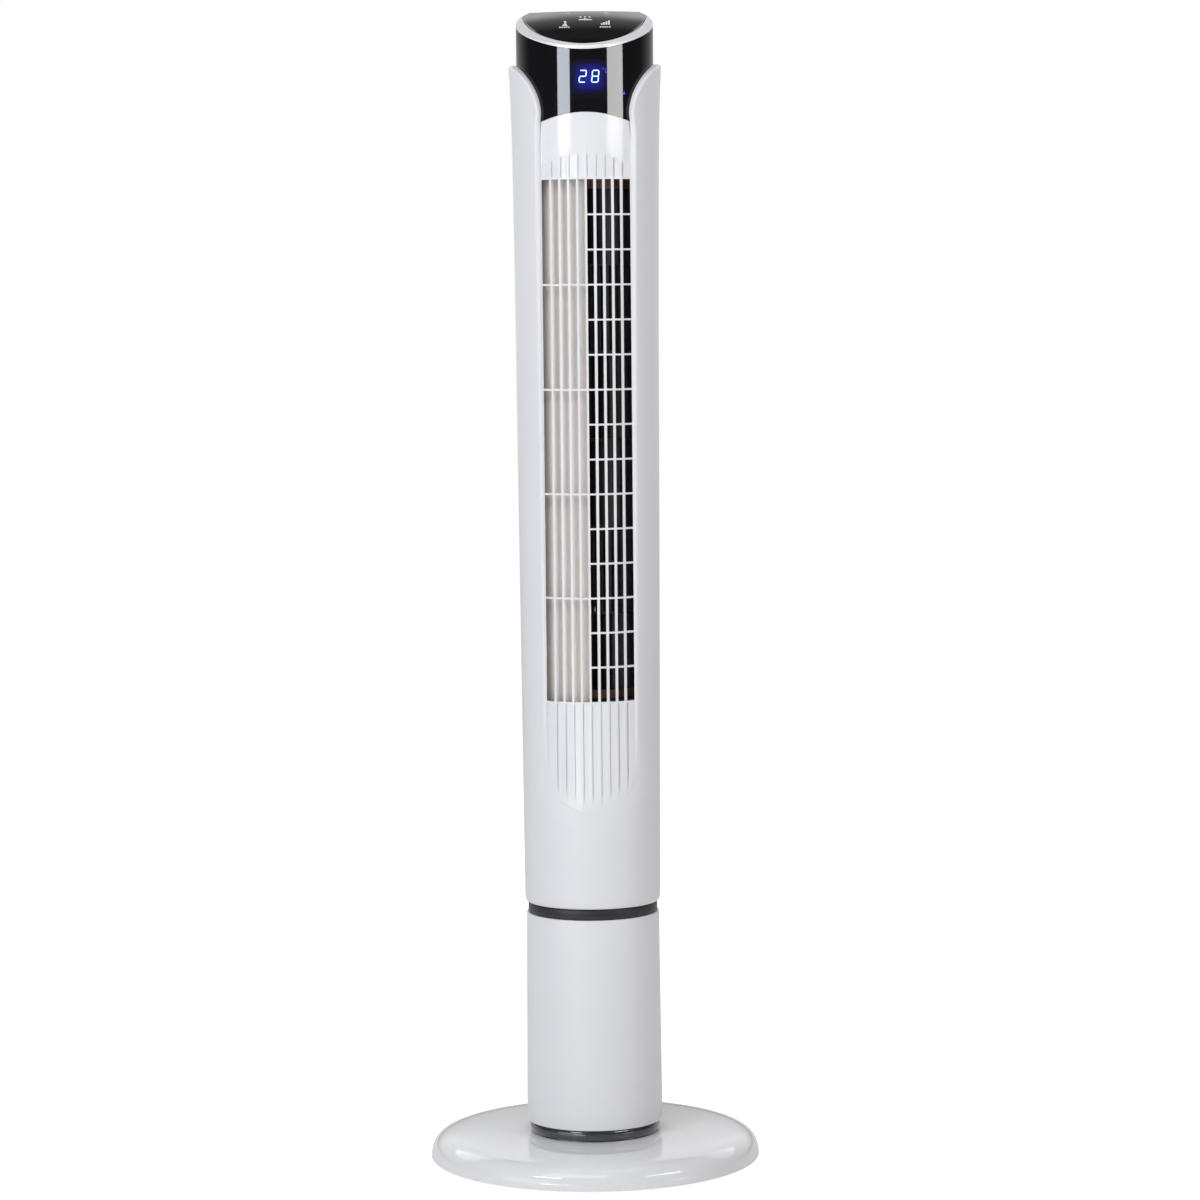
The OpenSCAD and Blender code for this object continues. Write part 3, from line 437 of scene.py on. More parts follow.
def make_collar():
    low, high = COLLAR_LOW, COLLAR_HIGH
    bulge = [(62.8 + 4 * math.cos(a), 34 + 6.6 * math.sin(a))
             for a in spread(math.radians(-50), math.radians(50), 20)]
    profile = [(52, low), (65.2, low), (65.5, low + 0.25)] + bulge
    profile += [(65.2, high - 0.1), (65.0, high), (63.2, high), (63, high - 0.2), (63, low + 2.4), (52, low + 2.4)]
    finish_mesh("base_collar_skin", revolve(profile), "stand", "smoke_plastic", ("base_collar",), sharp=40)


def make_column():
    low, high = COLUMN_LOW, COLUMN_HIGH
    corner = [(0.9, 0), (0.45, 0.12), (0.12, 0.45), (0, 0.9)]
    profile = [(COLUMN_R_LOW - COLUMN_WALL, low)] + [(COLUMN_R_LOW - inset, low + up) for inset, up in corner]
    profile += [(COLUMN_R_LOW + (COLUMN_R_TOP - COLUMN_R_LOW) * i / 12,
                 low + 0.9 + (high - low - 1.8) * i / 12) for i in range(1, 12)]
    profile += [(COLUMN_R_TOP - inset, high - down) for inset, down in corner[::-1]]
    profile += [(COLUMN_R_TOP - COLUMN_WALL, high)]
    finish_mesh("column_skin", revolve(profile), "stand", "satin_white", ("column_tube",), sharp=40)


def make_seam_ring():
    """Black ring with a fine groove around its middle."""
    low, high, r = SEAM_LOW, SEAM_HIGH, SEAM_R
    middle = (low + high) / 2
    profile = [(62, low), (r - 0.5, low), (r - 0.15, low + 0.15), (r, low + 0.5)]
    profile += [(r, middle - 0.5), (r - 0.35, middle - 0.3), (r - 0.35, middle + 0.3), (r, middle + 0.5)]
    profile += [(r, high - 0.5), (r - 0.15, high - 0.15), (r - 0.5, high), (62, high)]
    finish_mesh("seam_ring_skin", revolve(profile), "stand", "black_plastic", ("seam_ring",), sharp=50)


# ---- Housings ----

BODY_R, BODY_WALL, LIP_REACH = 69.0, 2.4, 3.2
RIM_WALL, SEAM_STEP = 1.0, 0.35
# Heights between which the wall thickens into the collar, the wings become horns and the scoop ends.
COLLAR_BLEND, HORN_BLEND, SCOOP_BLEND = (1030, 1044), (1040, 1066), (385, 440)


def body_r(z):
    """Outer radius of the body, before its edges are rounded."""
    if z < FLARE_Z:
        u = (FLARE_Z - z) / FLARE_H
        return BODY_R - 2.0 * (1 - max(0.0, 1 - u ** 3) ** 0.625)
    u = (z - FLARE_Z) / (BODY_TOP - FLARE_Z)
    return BODY_R + 4.9 * u + 2.7 * u ** 16


def inner_r(z):
    """Inner radius of the housings, with the thicker collar around the head."""
    if z < BODY_LOW + 5:
        return 64.4 + 1.7 * (z - BODY_LOW) / 5
    return body_r(z) - BODY_WALL + (COLLAR_R - body_r(z) + BODY_WALL) * smoothstep(*COLLAR_BLEND, z)


def wing_x(z):
    """Half width of the front cut-out at a height."""
    if z <= WING_LOW:
        return 0.0
    if z < WING_MID:
        return WING_HALF * math.sqrt(1 - ((WING_MID - z) / (WING_MID - WING_LOW)) ** 2)
    if z < HORN_Z:
        return WING_HALF
    t = min(1.0, (z - HORN_Z) / (BODY_TOP - HORN_Z))
    return WING_HALF + (HORN_X - WING_HALF) * t ** 2.15


def horn_share(z):
    """How far a height belongs to the horns rather than to the wings' straight edges."""
    return smoothstep(*HORN_BLEND, z)


def lip_depth(r):
    """Depth of the rolled lip around the head, where the body has radius r."""
    return min(LIP_REACH, r - COLLAR_R - 0.5)


def rolled(t):
    """Rounded fall from 1 at the edge to 0 on the surface."""
    return 1 - math.sqrt(max(0.0, 1 - (1 - t) ** 2.2))


def edge_depth(z):
    """Depth of the rolled edge: down to the grille panel, or around the lip of a horn."""
    r = body_r(z)
    horn = horn_share(z)
    return (r - PANEL_R - 0.25) * (1 - horn) + lip_depth(r) * horn


def edge_angle(x, z):
    """Angle at which the rolled edge comes to lie at x."""
    return math.asin(min(1.0, x / (body_r(z) - edge_depth(z))))


def edge_path():
    """Points along the cut-out edge and the upper rim, as (arc length around, height)."""
    points = [(WING_HALF * math.cos(math.radians(a)), WING_MID + (WING_MID - WING_LOW) * math.sin(math.radians(a)))
              for a in spread(-90, 0, 60)]
    points += [(WING_HALF, z) for z in spread(WING_MID, HORN_Z, 160)]
    points += [(wing_x(z), z) for z in spread(HORN_Z, BODY_TOP, 60)]
    path = [(body_r(z) * edge_angle(x, z), z) for x, z in points]
    end = path[-1]
    return path + [(end[0] + s, BODY_TOP) for s in spread(2, 60, 29)]


EDGE = edge_path()


def edge_distance(arc, z):
    """Distance of a surface point from the cut-out edge and upper rim."""
    best = 1e9
    for (ax, az), (bx, bz) in zip(EDGE, EDGE[1:]):
        if min(abs(az - z), abs(bz - z)) > 40:
            continue
        dx, dz = bx - ax, bz - az
        length = dx * dx + dz * dz
        t = 0.0 if length == 0 else min(1.0, max(0.0, ((arc - ax) * dx + (z - az) * dz) / length))
        best = min(best, math.hypot(arc - ax - t * dx, z - az - t * dz))
    return best


def edge_drop(z, distance):
    """How far the rolled edge lies inside the body surface."""
    soft = 1 - smoothstep(*SCOOP_BLEND, z)
    depth = edge_depth(z)
    width = 3.8 + 16 * soft - 1.4 * horn_share(z)
    t = min(1.0, distance / width)
    scooped = 1 - smoothstep(0, 1, t)
    return depth * (rolled(t) * (1 - soft) + scooped * soft)


def housing_rows():
    rows = FLARE_ROWS + spread(284, 332, 6) + spread(335, WING_LOW - 1.2, 18) + [WING_LOW]
    rows += [WING_MID - (WING_MID - WING_LOW) * math.cos(math.radians(90 * i / 26)) for i in range(1, 27)]
    rows += spread(WING_MID + 4, 440, 6) + spread(452, 1020, 44) + spread(1026, HORN_Z, 8)
    rows += [HORN_Z + (BODY_TOP - HORN_Z) * math.sin(math.radians(90 * i / 40)) for i in range(1, 41)]
    return rows


WING_STEPS = [0, 0.0022, 0.005, 0.009, 0.014, 0.02, 0.027, 0.035, 0.044, 0.055, 0.07, 0.09]
WING_STEPS += [0.09 + 0.9 * i / 34 for i in range(1, 35)] + [0.9955, 1.0]


def mirrored(points):
    """Row of points from the left side to the right, from its right half."""
    return [(-x, y, z) for x, y, z in points[::-1]] + points


def make_front_housing():
    """Front half of the body, with the cut-out's rolled edge and the two horns beside the head."""
    outer, inner = [], []
    rows = housing_rows()
    for z in rows:
        r = body_r(z)
        start = edge_angle(wing_x(z), z)
        end = PI / 2 + math.asin((SEAM_Y - 0.12) / r)
        right_out, right_in = [], []
        for step in WING_STEPS:
            a = start + (end - start) * step
            d = edge_distance(a * r, z) if step < 0.99 or z > 1100 else 30.0
            surface = r - edge_drop(z, d) - (SEAM_STEP if step == 1.0 else 0.0)
            lip = min(0.25 + 0.72 * d, BODY_WALL if z < HORN_BLEND[0] else RIM_WALL)
            right_out.append(polar(surface, a, z))
            right_in.append(polar(min(inner_r(z), surface - lip), a, z))
        outer.append(mirrored(right_out))
        inner.append(mirrored(right_in))
    middle = len(WING_STEPS) - 1
    shape = slab(outer, inner, lambda i, j: j != middle or rows[i + 1] <= WING_LOW)
    finish_mesh("front_housing_skin", shape, "tower", "satin_white", ("front_housing",), sharp=38)


HANDLE_ANGLE = math.radians(38.6)
WINDOW_ANGLE = math.radians(62)
HANDLE_CUT = (1015.6, 1048.9)
SCREWS = [(side * 54.0, 20.0, z) for z in (300.0, 380.0, 446.0, 1022.0) for side in (-1, 1)]
SCREW_HOLE_R = 4.1


def rear_columns(r):
    end = PI / 2 - math.asin((SEAM_Y + 0.17) / r)
    side = [WINDOW_ANGLE + (end - WINDOW_ANGLE) * s for s in (0.1, 0.25, 0.4, 0.55, 0.7, 0.85, 0.975, 1.0)]
    half = [math.radians(a) for a in spread(0, 36, 12)][1:] + [HANDLE_ANGLE]
    half += [HANDLE_ANGLE + (WINDOW_ANGLE - HANDLE_ANGLE) * i / 10 for i in range(1, 11)] + side
    return [-a for a in half[::-1]] + [0.0] + half


def make_rear_housing():
    """Rear half of the body, with the openings for the intake, the handle and the screws."""
    rows = FLARE_ROWS + spread(286, 470, 16) + [INTAKE_LOW - 0.3] + spread(496, 976, 30)
    rows += [INTAKE_HIGH + 0.3, 1004, HANDLE_CUT[0]] + spread(1021, 1044, 5) + [HANDLE_CUT[1]]
    rows += spread(1054, 1100, 12) + [1103, 1105, 1106.6, 1108, 1109, 1109.8, 1110.4, 1110.8, BODY_TOP]
    outer, inner = [], []
    for z in rows:
        r = body_r(z)
        surface = r - lip_depth(r) * rolled(min(1.0, (BODY_TOP - z) / 3.8))
        angles = rear_columns(r)
        last = len(angles) - 1
        outer.append([polar(surface - (SEAM_STEP if k in (0, last) else 0.0), PI - a, z)
                      for k, a in enumerate(angles)])
        inner.append([polar(min(inner_r(z), surface - RIM_WALL), PI - a, z) for a in angles])
    angles = rear_columns(BODY_R + 1)

    def solid(i, j):
        low, high = rows[i] + 0.01, rows[i + 1] - 0.01
        a = abs(angles[j] + angles[j + 1]) / 2
        if a < WINDOW_ANGLE and low > INTAKE_LOW - 0.3 and high < INTAKE_HIGH + 0.3:
            return False
        return not (a < HANDLE_ANGLE and low > HANDLE_CUT[0] and high < HANDLE_CUT[1])

    piece = finish_mesh("rear_housing_skin", slab(outer, inner, solid), "tower", "satin_white",
                        ("rear_housing",), sharp=38)
    cut_screw_holes(piece)


def cut_screw_holes(piece):
    """Takes the eight screw holes out of the rear housing."""
    cutter = add_object("cutter", mesh_of("cutter", *join(*[rod((x, y + 10, z), SCREW_HOLE_R, 60, 40)
                                                            for x, y, z in SCREWS])))
    cut = piece.modifiers.new("holes", "BOOLEAN")
    cut.object = cutter
    cut.solver = "EXACT"
    cut.operation = "DIFFERENCE"
    bpy.context.view_layer.update()
    result = bpy.data.meshes.new_from_object(piece.evaluated_get(bpy.context.evaluated_depsgraph_get()))
    piece.modifiers.clear()
    piece.data = result
    result.set_sharp_from_angle(angle=math.radians(38))
    bpy.data.objects.remove(cutter)


def make_screw_wells():
    """Tubes from the screw holes to their floors, cut to the body's curve."""
    wells = []
    for x, y, z in SCREWS:
        verts, faces = tube((x, y, z), SCREW_HOLE_R, 5.0, 5.0)
        wells.append(([(u, math.sqrt((body_r(h) - 0.25) ** 2 - u * u) if v > y + 1 else v, h)
                       for u, v, h in verts], faces))
    floors = [tube((x, y - 2, z), 2.1, 5.0, 2.0) for x, y, z in SCREWS]
    finish_mesh("screw_wells", join(*wells, *floors), "tower", "satin_white", bevel=0.15)


SLAT_PITCH, SLAT_GAP = 16.0, 8.0
BAR_TURN, BAR_HALF_TURN = math.radians(14.6), math.radians(1.2)


def make_intake():
    """Rear air intake: level slats outside, upright bars behind them."""
    low, high = INTAKE_LOW, INTAKE_HIGH
    edge = WINDOW_ANGLE - math.radians(0.35)
    margin = math.radians(3.0)
    rows, gaps = [low, low + 5], []
    z = low + 9.7
    while z + SLAT_GAP < high - 6:
        gaps.append((z, z + SLAT_GAP))
        rows += [z, z + SLAT_GAP / 2, z + SLAT_GAP]
        z += SLAT_PITCH
    rows += [high - 3, high]
    angles = [-edge] + spread(-edge + margin, edge - margin, 48) + [edge]
    outer, inner = [[[polar(body_r(z) - inset, PI - a, z) for a in angles] for z in rows] for inset in (0, 1.5)]

    def solid(i, j):
        middle = (rows[i] + rows[i + 1]) / 2
        return not (any(a < middle < b for a, b in gaps) and 0 < j < len(angles) - 2)

    finish_mesh("intake_slats", slab(outer, inner, solid), "tower", "satin_white", ("intake_grille",), bevel=0.55)
    bars = []
    for k in range(-4, 5):
        turn = math.copysign(edge - math.radians(1.6), k) if abs(k) == 4 else k * BAR_TURN
        a0, a1 = PI - turn - BAR_HALF_TURN, PI - turn + BAR_HALF_TURN
        corners = ((1.4, a0), (1.4, a1), (2.4, a1), (2.4, a0))
        loops = [[polar(body_r(z) - inset, a, z) for inset, a in corners] for z in spread(low + 1, high - 1, 8)]
        bars.append(columns(loops, closed=False))
    finish_mesh("intake_bars", join(*bars), "tower", "satin_white", bevel=0.2)


def rounded_loop(half, low, high, radius):
    """Rounded rectangle as (x, z) points."""
    points = []
    for cx, cz, start in ((half - radius, high - radius, 0), (-half + radius, high - radius, 90),
                          (-half + radius, low + radius, 180), (half - radius, low + radius, 270)):
        points += [(cx + radius * math.cos(math.radians(a)), cz + radius * math.sin(math.radians(a)))
                   for a in spread(start, start + 90, 10)]
    return points


def make_handle():
    """Recessed carry handle: a pocket with rounded corners and a soft lip."""
    half, low, high = HANDLE_HIGH.x, HANDLE_LOW.z, HANDLE_HIGH.z
    r = body_r(1030) - 0.2

    def loop(grow, radius, y=None, inset=0.0):
        """Outline at a depth y, or on the body's curve and an inset inside it."""
        points = rounded_loop(half + grow, low - grow, high + grow, radius + max(0, grow))
        return [(x, math.sqrt(r * r - x * x) - inset if y is None else y, z) for x, z in points]

    back = [loop(-0.4, 4.0, 45.0), loop(0.0, 4.0, 45.6)]
    lip = [loop(grow, radius, inset=inset) for grow, inset, radius in (
        (0.0, 1.6, 4.0), (0.0, 0.9, 4.0), (-0.35, 0.35, 4.0), (-0.9, 0.15, 4.0), (-1.6, 0.45, 4.0),
        (-2.2, 1.4, 4.5), (-2.5, 3.2, 5.0))]
    pocket = [loop(grow, radius, y) for grow, y, radius in (
        (-2.6, 53.0, 5.0), (-3.0, 50.5, 5.5), (-4.0, 48.6, 6.0), (-5.6, 47.7, 6.5), (-7.5, 47.5, 6.0))]
    finish_mesh("carry_handle_skin", columns(back + lip + pocket, closed=False), "tower", "satin_white",
                ("carry_handle",), sharp=50)


# ---- Front grille ----

FLUTE_DEPTH = 1.5
PITCH = 2 * OUTLET_HALF / BARS
BAR_X = [-OUTLET_HALF + PITCH * i for i in range(1, BARS)]


def bar_half(i):
    """Half width of a bar: slim over the louvre, wider over the open side."""
    return 1.0 if 0 < i < 5 else 1.4 if 5 < i < BARS else BAR_W / 2


def flute_depth(x, z):
    """Depth of the shallow pockets that carry the lines of the bars past the outlet."""
    t = min(1.0, abs(x) / ARC_HALF)
    i, place = divmod(x + OUTLET_HALF, PITCH)
    if abs(x) >= OUTLET_HALF - 0.1 or not bar_half(i) + 0.05 < place < PITCH - bar_half(i + 1) - 0.05:
        return 0.0
    across = 1.0 if place < bar_half(i) + 0.85 else 0.28 - 0.24 * place / PITCH
    if z < OUTLET_LOW:
        low = WING_MID - 38 * math.sqrt(1 - t * t)
        along = smoothstep(low, low + 16, z) * (1 - smoothstep(OUTLET_LOW - 3.2, OUTLET_LOW - 1.4, z))
    else:
        high = OUTLET_HIGH + 27 - 14 * t * t
        along = smoothstep(OUTLET_HIGH + 1.4, OUTLET_HIGH + 3.2, z) * (1 - smoothstep(high - 3, high, z))
    return FLUTE_DEPTH * across * along


PANEL_SIDES = (45.0, 45.7, 46.6, 47.5)
PANEL_BACK_R = 63.4
ROW_PITCH = (OUTLET_HIGH - OUTLET_LOW) / ROWS
TOP_ROWS = 6


def grille_columns():
    xs = [-x for x in PANEL_SIDES] + list(PANEL_SIDES) + [-OUTLET_HALF, OUTLET_HALF]
    for i in range(BARS):
        x0 = -OUTLET_HALF + i * PITCH
        x1, left, right = x0 + PITCH, bar_half(i), bar_half(i + 1)
        xs += [x0, x0 + left] if i > 0 else []
        xs += [x0 + left + 0.15, x0 + left + 0.8, x0 + left + 0.95, x0 + PITCH * 0.4, x0 + PITCH * 0.6,
               x1 - right - 0.2]
        xs += [x1 - right] if i < BARS - 1 else []
    return sorted(set(round(x, 4) for x in xs))


def grille_rows():
    """Heights of the panel's rows below its arched top."""
    zs = spread(PANEL_LOW, OUTLET_LOW - 6, 54) + [OUTLET_LOW - step for step in (4.4, 3.2, 2.6, 2, 1.4, 0)]
    for j in range(1, ROWS):
        zs += [OUTLET_LOW + j * ROW_PITCH - RIB_H / 2, OUTLET_LOW + j * ROW_PITCH + RIB_H / 2]
    zs += [OUTLET_HIGH + step for step in (0, 1.4, 2, 2.6, 3.2)]
    return zs + spread(OUTLET_HIGH + 5, OUTLET_HIGH + 32, 18) + spread(OUTLET_HIGH + 36, ARC_Z - 12, 8)


def panel_point(x, z, front):
    """Point on the grille panel's face or back. The face falls away past the cut-out's edge."""
    edge = WING_HALF + 1.3
    beyond = max(0.0, abs(x) - edge)
    if z < WING_MID:
        reach = math.hypot(x / edge, (WING_MID - z) / (WING_MID - WING_LOW + 1.3))
        beyond = max(0.0, (reach - 1) * 45.0)
    r = PANEL_R - flute_depth(x, z) - min(2.4, 1.1 * beyond)
    if not front:
        r = min(PANEL_BACK_R, r - 1.2)
    return (x, -math.sqrt(r * r - x * x), z)


def arch_z(x):
    """Height of the arched edge between the grille panel and the head."""
    return ARC_Z - ARC_RISE * (x / ARC_HALF) ** 2


def make_front_grille():
    """Front panel with the outlet's bars, its level ribs and the flutes above and below them."""
    xs, zs = grille_columns(), grille_rows()
    rows = [[z] * len(xs) for z in zs]
    start = zs[-1]
    for k in range(1, TOP_ROWS + 1):
        rows.append([start + (arch_z(min(ARC_HALF, abs(x))) - start) * k / TOP_ROWS for x in xs])
    outer, inner = [[[panel_point(x, z, front) for x, z in zip(xs, row)] for row in rows]
                    for front in (True, False)]

    def solid(i, j):
        x, z = (xs[j] + xs[j + 1]) / 2, (rows[i][0] + rows[i + 1][0]) / 2
        if not (OUTLET_LOW < z < OUTLET_HIGH and abs(x) < OUTLET_HALF):
            return True
        if any(abs(x - b) < bar_half(k) for k, b in enumerate(BAR_X, 1)):
            return True
        pitch = ROW_PITCH if x > 0 else 3 * ROW_PITCH
        level = (z - OUTLET_LOW) / pitch
        k = round(level)
        return 0 < k < (OUTLET_HIGH - OUTLET_LOW) / pitch - 0.5 and abs(level - k) * pitch < RIB_H / 2

    finish_mesh("front_grille_skin", slab(outer, inner, solid), "tower", "gloss_white", ("front_grille",),
                bevel=0.18, bevel_from=62)


# ---- Head ----

def slant(y, drop):
    """Height of the trim's slanted plane."""
    return SLANT_Z + y * SLANT - drop


def roof(y, drop):
    """Height of the plane that falls from the ridge to the rear."""
    return SLANT_Z + RIDGE_Y * SLANT - (y - RIDGE_Y) * REAR_SLOPE - drop


def lift(x):
    """Height of the crowned ridge above the trim's plane, lower toward the sides."""
    return 0.55 - 1.2 * (x / 55) ** 2


def trim_half(y):
    """Half width of the touch panel's opening in the trim."""
    t = min(1.0, max(0.0, (TRIM_BACK - y) / TRIM_REACH))
    return TRIM_HALF * (1 - t ** TRIM_POWER) ** (1 / TRIM_POWER)


def trim_inner(a):
    """Radius of the trim's inner edge at an angle from the front."""
    near, far = 40.0, HEAD_R
    for _ in range(40):
        r = (near + far) / 2
        x, y, _ = polar(r, a, 0)
        near, far = (r, far) if abs(x) < trim_half(y) else (near, r)
    return near


def trim_drop(a):
    """Depth of the trim's outer face, thick in front and thin at the sides."""
    return 0.5 + 2.8 * max(0.0, math.cos(a)) ** 4


def make_head():
    """Black wall around the display with its rounded rear roof."""
    rear_y = RIDGE_Y + 0.3
    split = PI / 2 + math.asin(rear_y / HEAD_R)
    wall, steps = 2.5, spread(0, 1, 8)[1:]

    def lower(a):
        x = HEAD_R * math.sin(a)
        if math.cos(a) > 0 and abs(x) < 52:
            return arch_z(x) + 0.15
        return HEAD_LOW

    def front_loop(a):
        drop = trim_drop(a) + 0.06
        low, top = lower(a), slant(-HEAD_R * math.cos(a), drop)
        out = [polar(HEAD_R, a, z) for z in spread(low, top - 0.3, 12)]
        out += [polar(HEAD_R - 0.3 * t, a, top - 0.3 * (1 - t)) for t in steps]
        out += [polar(r, a, slant(-r * math.cos(a), drop)) for r in spread(HEAD_R - 0.3, HEAD_R - wall, 8)[1:]]
        return out + [polar(HEAD_R - wall, a, top - 6), polar(HEAD_R - wall, a, low)]

    def rear_loop(a):
        x, y, _ = polar(HEAD_R, a, 0)
        reach = max(0.0, y - rear_y)
        low, edge = lower(a), roof(y, 0) + lift(x)
        soft = min(5.0, 0.55 * reach + 0.3)
        inward = min(soft, reach * 0.6)
        out = [polar(HEAD_R, a, z) for z in spread(low, edge - soft, 12)]
        end = (x, y - inward, roof(y - inward, 0) + lift(x))
        below, corner = (x, y, edge - soft), (x, y, edge)
        for t in steps:
            w0, w1, w2 = (1 - t) ** 2, 1.42 * t * (1 - t), t * t
            out.append(tuple((w0 * a0 + w1 * a1 + w2 * a2) / (w0 + w1 + w2)
                             for a0, a1, a2 in zip(below, corner, end)))
        for t in steps:
            back = end[1] + (rear_y - end[1]) * t
            out.append((x, back, roof(back, 0) + lift(x)))
        return out + [(x * 0.94, rear_y, roof(rear_y, 6)), polar(HEAD_R - wall, a, low)]

    loops = [front_loop(a) for a in spread(-split, split, 168)]
    loops += [rear_loop(a) for a in spread(split, 2 * PI - split, 64)]
    finish_mesh("head_shell_skin", columns(loops), "tower", "gloss_black", ("head_shell",), sharp=32)


def make_top_rim():
    """Silver crescent around the touch panel, running out to nothing toward the ridge."""
    tip = PI / 2
    while trim_inner(tip) < HEAD_R - 0.8:
        tip += 0.002
    loops = []
    for s in spread(-1, 1, 240):
        a = s * tip
        r_in, low = trim_inner(a), trim_drop(a)
        width = HEAD_R - r_in
        soft = min(1.2, 0.45 * low, 0.5 * width)
        wall, deep = max(r_in + 0.1, HEAD_R - 2.7), max(low, 2.3)
        section = [(r_in, deep), (wall, deep), (wall, low), (HEAD_R, low), (HEAD_R, soft)]
        section += [(HEAD_R - soft + soft * math.cos(b), soft - soft * math.sin(b))
                    for b in spread(0, PI / 2, 6)[1:]]
        flat = width - soft - 0.25
        section += [(HEAD_R - soft - flat * t, -0.02 * width * 4 * t * (1 - t)) for t in spread(0, 1, 8)[1:]]
        section += [(r_in + 0.06, 0.08), (r_in, 0.3)]
        loops.append([polar(r, a, slant(-r * math.cos(a), drop)) for r, drop in section])
    finish_mesh("top_rim_skin", columns(loops, closed=False), "tower", "silver_trim", ("top_rim",), sharp=35)


def panel_level(x, y):
    """Height of the crowned touch panel."""
    front, rear = (y + 61) / 102, (41 - y) / 102
    rise = -0.15 + 0.7 * front + 6.0 * front * rear - 1.2 * (x / 55) ** 2 * max(0.0, front) ** 2
    return slant(y, -rise)


def make_control_panel():
    """Crowned touch panel: inside the trim in front, out to the head's full width behind it."""
    front, n = TRIM_BACK - TRIM_REACH + TRIM_GAP, 56
    ys = [front + (RIDGE_Y + 0.15 - front) * (1 - math.cos(PI / 2 * i / n)) for i in range(n + 1)]
    outer, inner = [], []
    for y in ys:
        head_half = math.sqrt(max(0.0, (HEAD_R - 0.1) ** 2 - y * y))
        inside = max(0.3, trim_half(y) - TRIM_GAP)
        half = min(inside, head_half) if inside < head_half - 0.35 else head_half
        xs = [half * math.sin(PI / 2 * s) for s in spread(-1, 1, 36)]
        top = [panel_level(x, y) - (0.3 if abs(abs(x) - half) < 1e-6 else 0.0) for x in xs]
        outer.append([(x, y, z) for x, z in zip(xs, top)])
        inner.append([(x, y, min(z - 0.1, slant(y, 2.2 - 1.75 * smoothstep(62.5, 65.5, math.hypot(x, y)))))
                      for x, z in zip(xs, top)])
    finish_mesh("control_panel_skin", slab(outer, inner), "tower", "panel_black", ("control_panel",), sharp=35)


def plate(points, thickness, place):
    """Thin prism from an outline of (u, v) points. place(u, v, w) gives the point in space."""
    n = len(points)
    verts = [place(u, v, 0.0) for u, v in points] + [place(u, v, thickness) for u, v in points]
    faces = [tuple(reversed(range(n))), tuple(range(n, 2 * n))]
    faces += [(i, (i + 1) % n, n + (i + 1) % n, n + i) for i in range(n)]
    return verts, faces


def circle(cx, cy, r, n=16):
    return [(cx + r * math.cos(a), cy + r * math.sin(a)) for a in turns(n)]


def bar(u0, v0, u1, v1):
    return [(u0, v0), (u1, v0), (u1, v1), (u0, v1)]


def thin_ring(cx, cy, r, width, place, thickness):
    section = ((r, 0), (r - width, 0), (r - width, thickness), (r, thickness))
    return columns([[place(cx + q * math.cos(a), cy + q * math.sin(a), w) for q, w in section] for a in turns(14)])


def on_panel(u, v, w):
    return (u, v, panel_level(u, v) + 0.01 + w)


def on_head(u, z, w):
    """Point on the head's front, u millimetres to the right of the middle."""
    a = math.asin(u / HEAD_R)
    return polar(HEAD_R + 0.02 + w, a, z)


def make_icons():
    """Printed symbols on the touch panel: thermometer, three lamps, rising bars and their underlines."""
    shapes = [circle(-19.4, 3.4, 1.5), bar(-20.1, -9.5, -18.7, 3.4),
              [(-22.4, -10.5), (-16.4, -10.5), (-18.4, -5.0), (-20.4, -5.0)], bar(-18.4, -2.0, -17.2, -0.4)]
    shapes += [bar(-4.7 + 4.6 * k, 17.0, -3.1 + 4.6 * k, 21.0) for k in range(3)]
    shapes += [[(-5.6, 8.0), (7.6, 8.0), (7.6, 10.4), (2.4, 11.2), (0.5, 14.0), (-1.4, 11.2), (-5.6, 10.4)]]
    shapes += [bar(16.6 + 2.4 * k, -8.0, 18.3 + 2.4 * k, -3.6 + 3.2 * k) for k in range(4)]
    for left, right in ((-25.2, -14.2), (15.6, 26.8)):
        step = (right - left) / 5
        shapes += [bar(left + step * k, -16.6, left + step * k + 1.7, -13.4) for k in range(5)]
    shapes += [bar(-18.6, 33.2, -14.6, 34.8), bar(20.0, 33.2, 24.0, 34.8)]
    finish_mesh("touch_symbols", join(*[plate(shape, 0.05, on_panel) for shape in shapes]), "tower", "silver_trim",
                material="print_white")


SEGMENTS = {"2": (1, 1, 0, 1, 1, 0, 1), "8": (1, 1, 1, 1, 1, 1, 1)}
DIGIT_W, DIGIT_H, DIGIT_Z, STROKE, LEAN = 7.4, 12.6, 1097.0, 1.1, 0.10


def hexagon(x0, z0, x1, z1):
    """Bar with pointed ends between two points, as one lit segment."""
    h = STROKE / 2
    if abs(x1 - x0) > abs(z1 - z0):
        return [(x0, z0), (x0 + h, z0 - h), (x1 - h, z0 - h), (x1, z0), (x1 - h, z0 + h), (x0 + h, z0 + h)]
    return [(x0, z0), (x0 + h, z0 + h), (x0 + h, z1 - h), (x0, z1), (x0 - h, z1 - h), (x0 - h, z0 + h)]


def digit(centre, text):
    w, h, g = DIGIT_W / 2 - STROKE / 2, DIGIT_H / 2 - STROKE / 2, 0.18
    shapes = [hexagon(-w + g, h, w - g, h), hexagon(w, g, w, h - g), hexagon(w, -h + g, w, -g),
              hexagon(-w + g, -h, w - g, -h), hexagon(-w, -h + g, -w, -g), hexagon(-w, g, -w, h - g),
              hexagon(-w + g, 0, w - g, 0)]
    lit = [s for s, on in zip(shapes, SEGMENTS[text]) if on]
    return [plate([(centre + u + LEAN * v, DIGIT_Z + v) for u, v in s], 0.1, on_head) for s in lit]


UNIT_X, UNIT_Z = 21.9, 1102.6
LED_ANGLE, LED_Z = math.radians(34), 1080.6


def unit_arc(wide, high, start, end):
    """Part of an ellipse, for the unit sign's second mark."""
    return [(UNIT_X + wide * math.cos(math.radians(a)), UNIT_Z + high * math.sin(math.radians(a)))
            for a in spread(start, end, 14)]


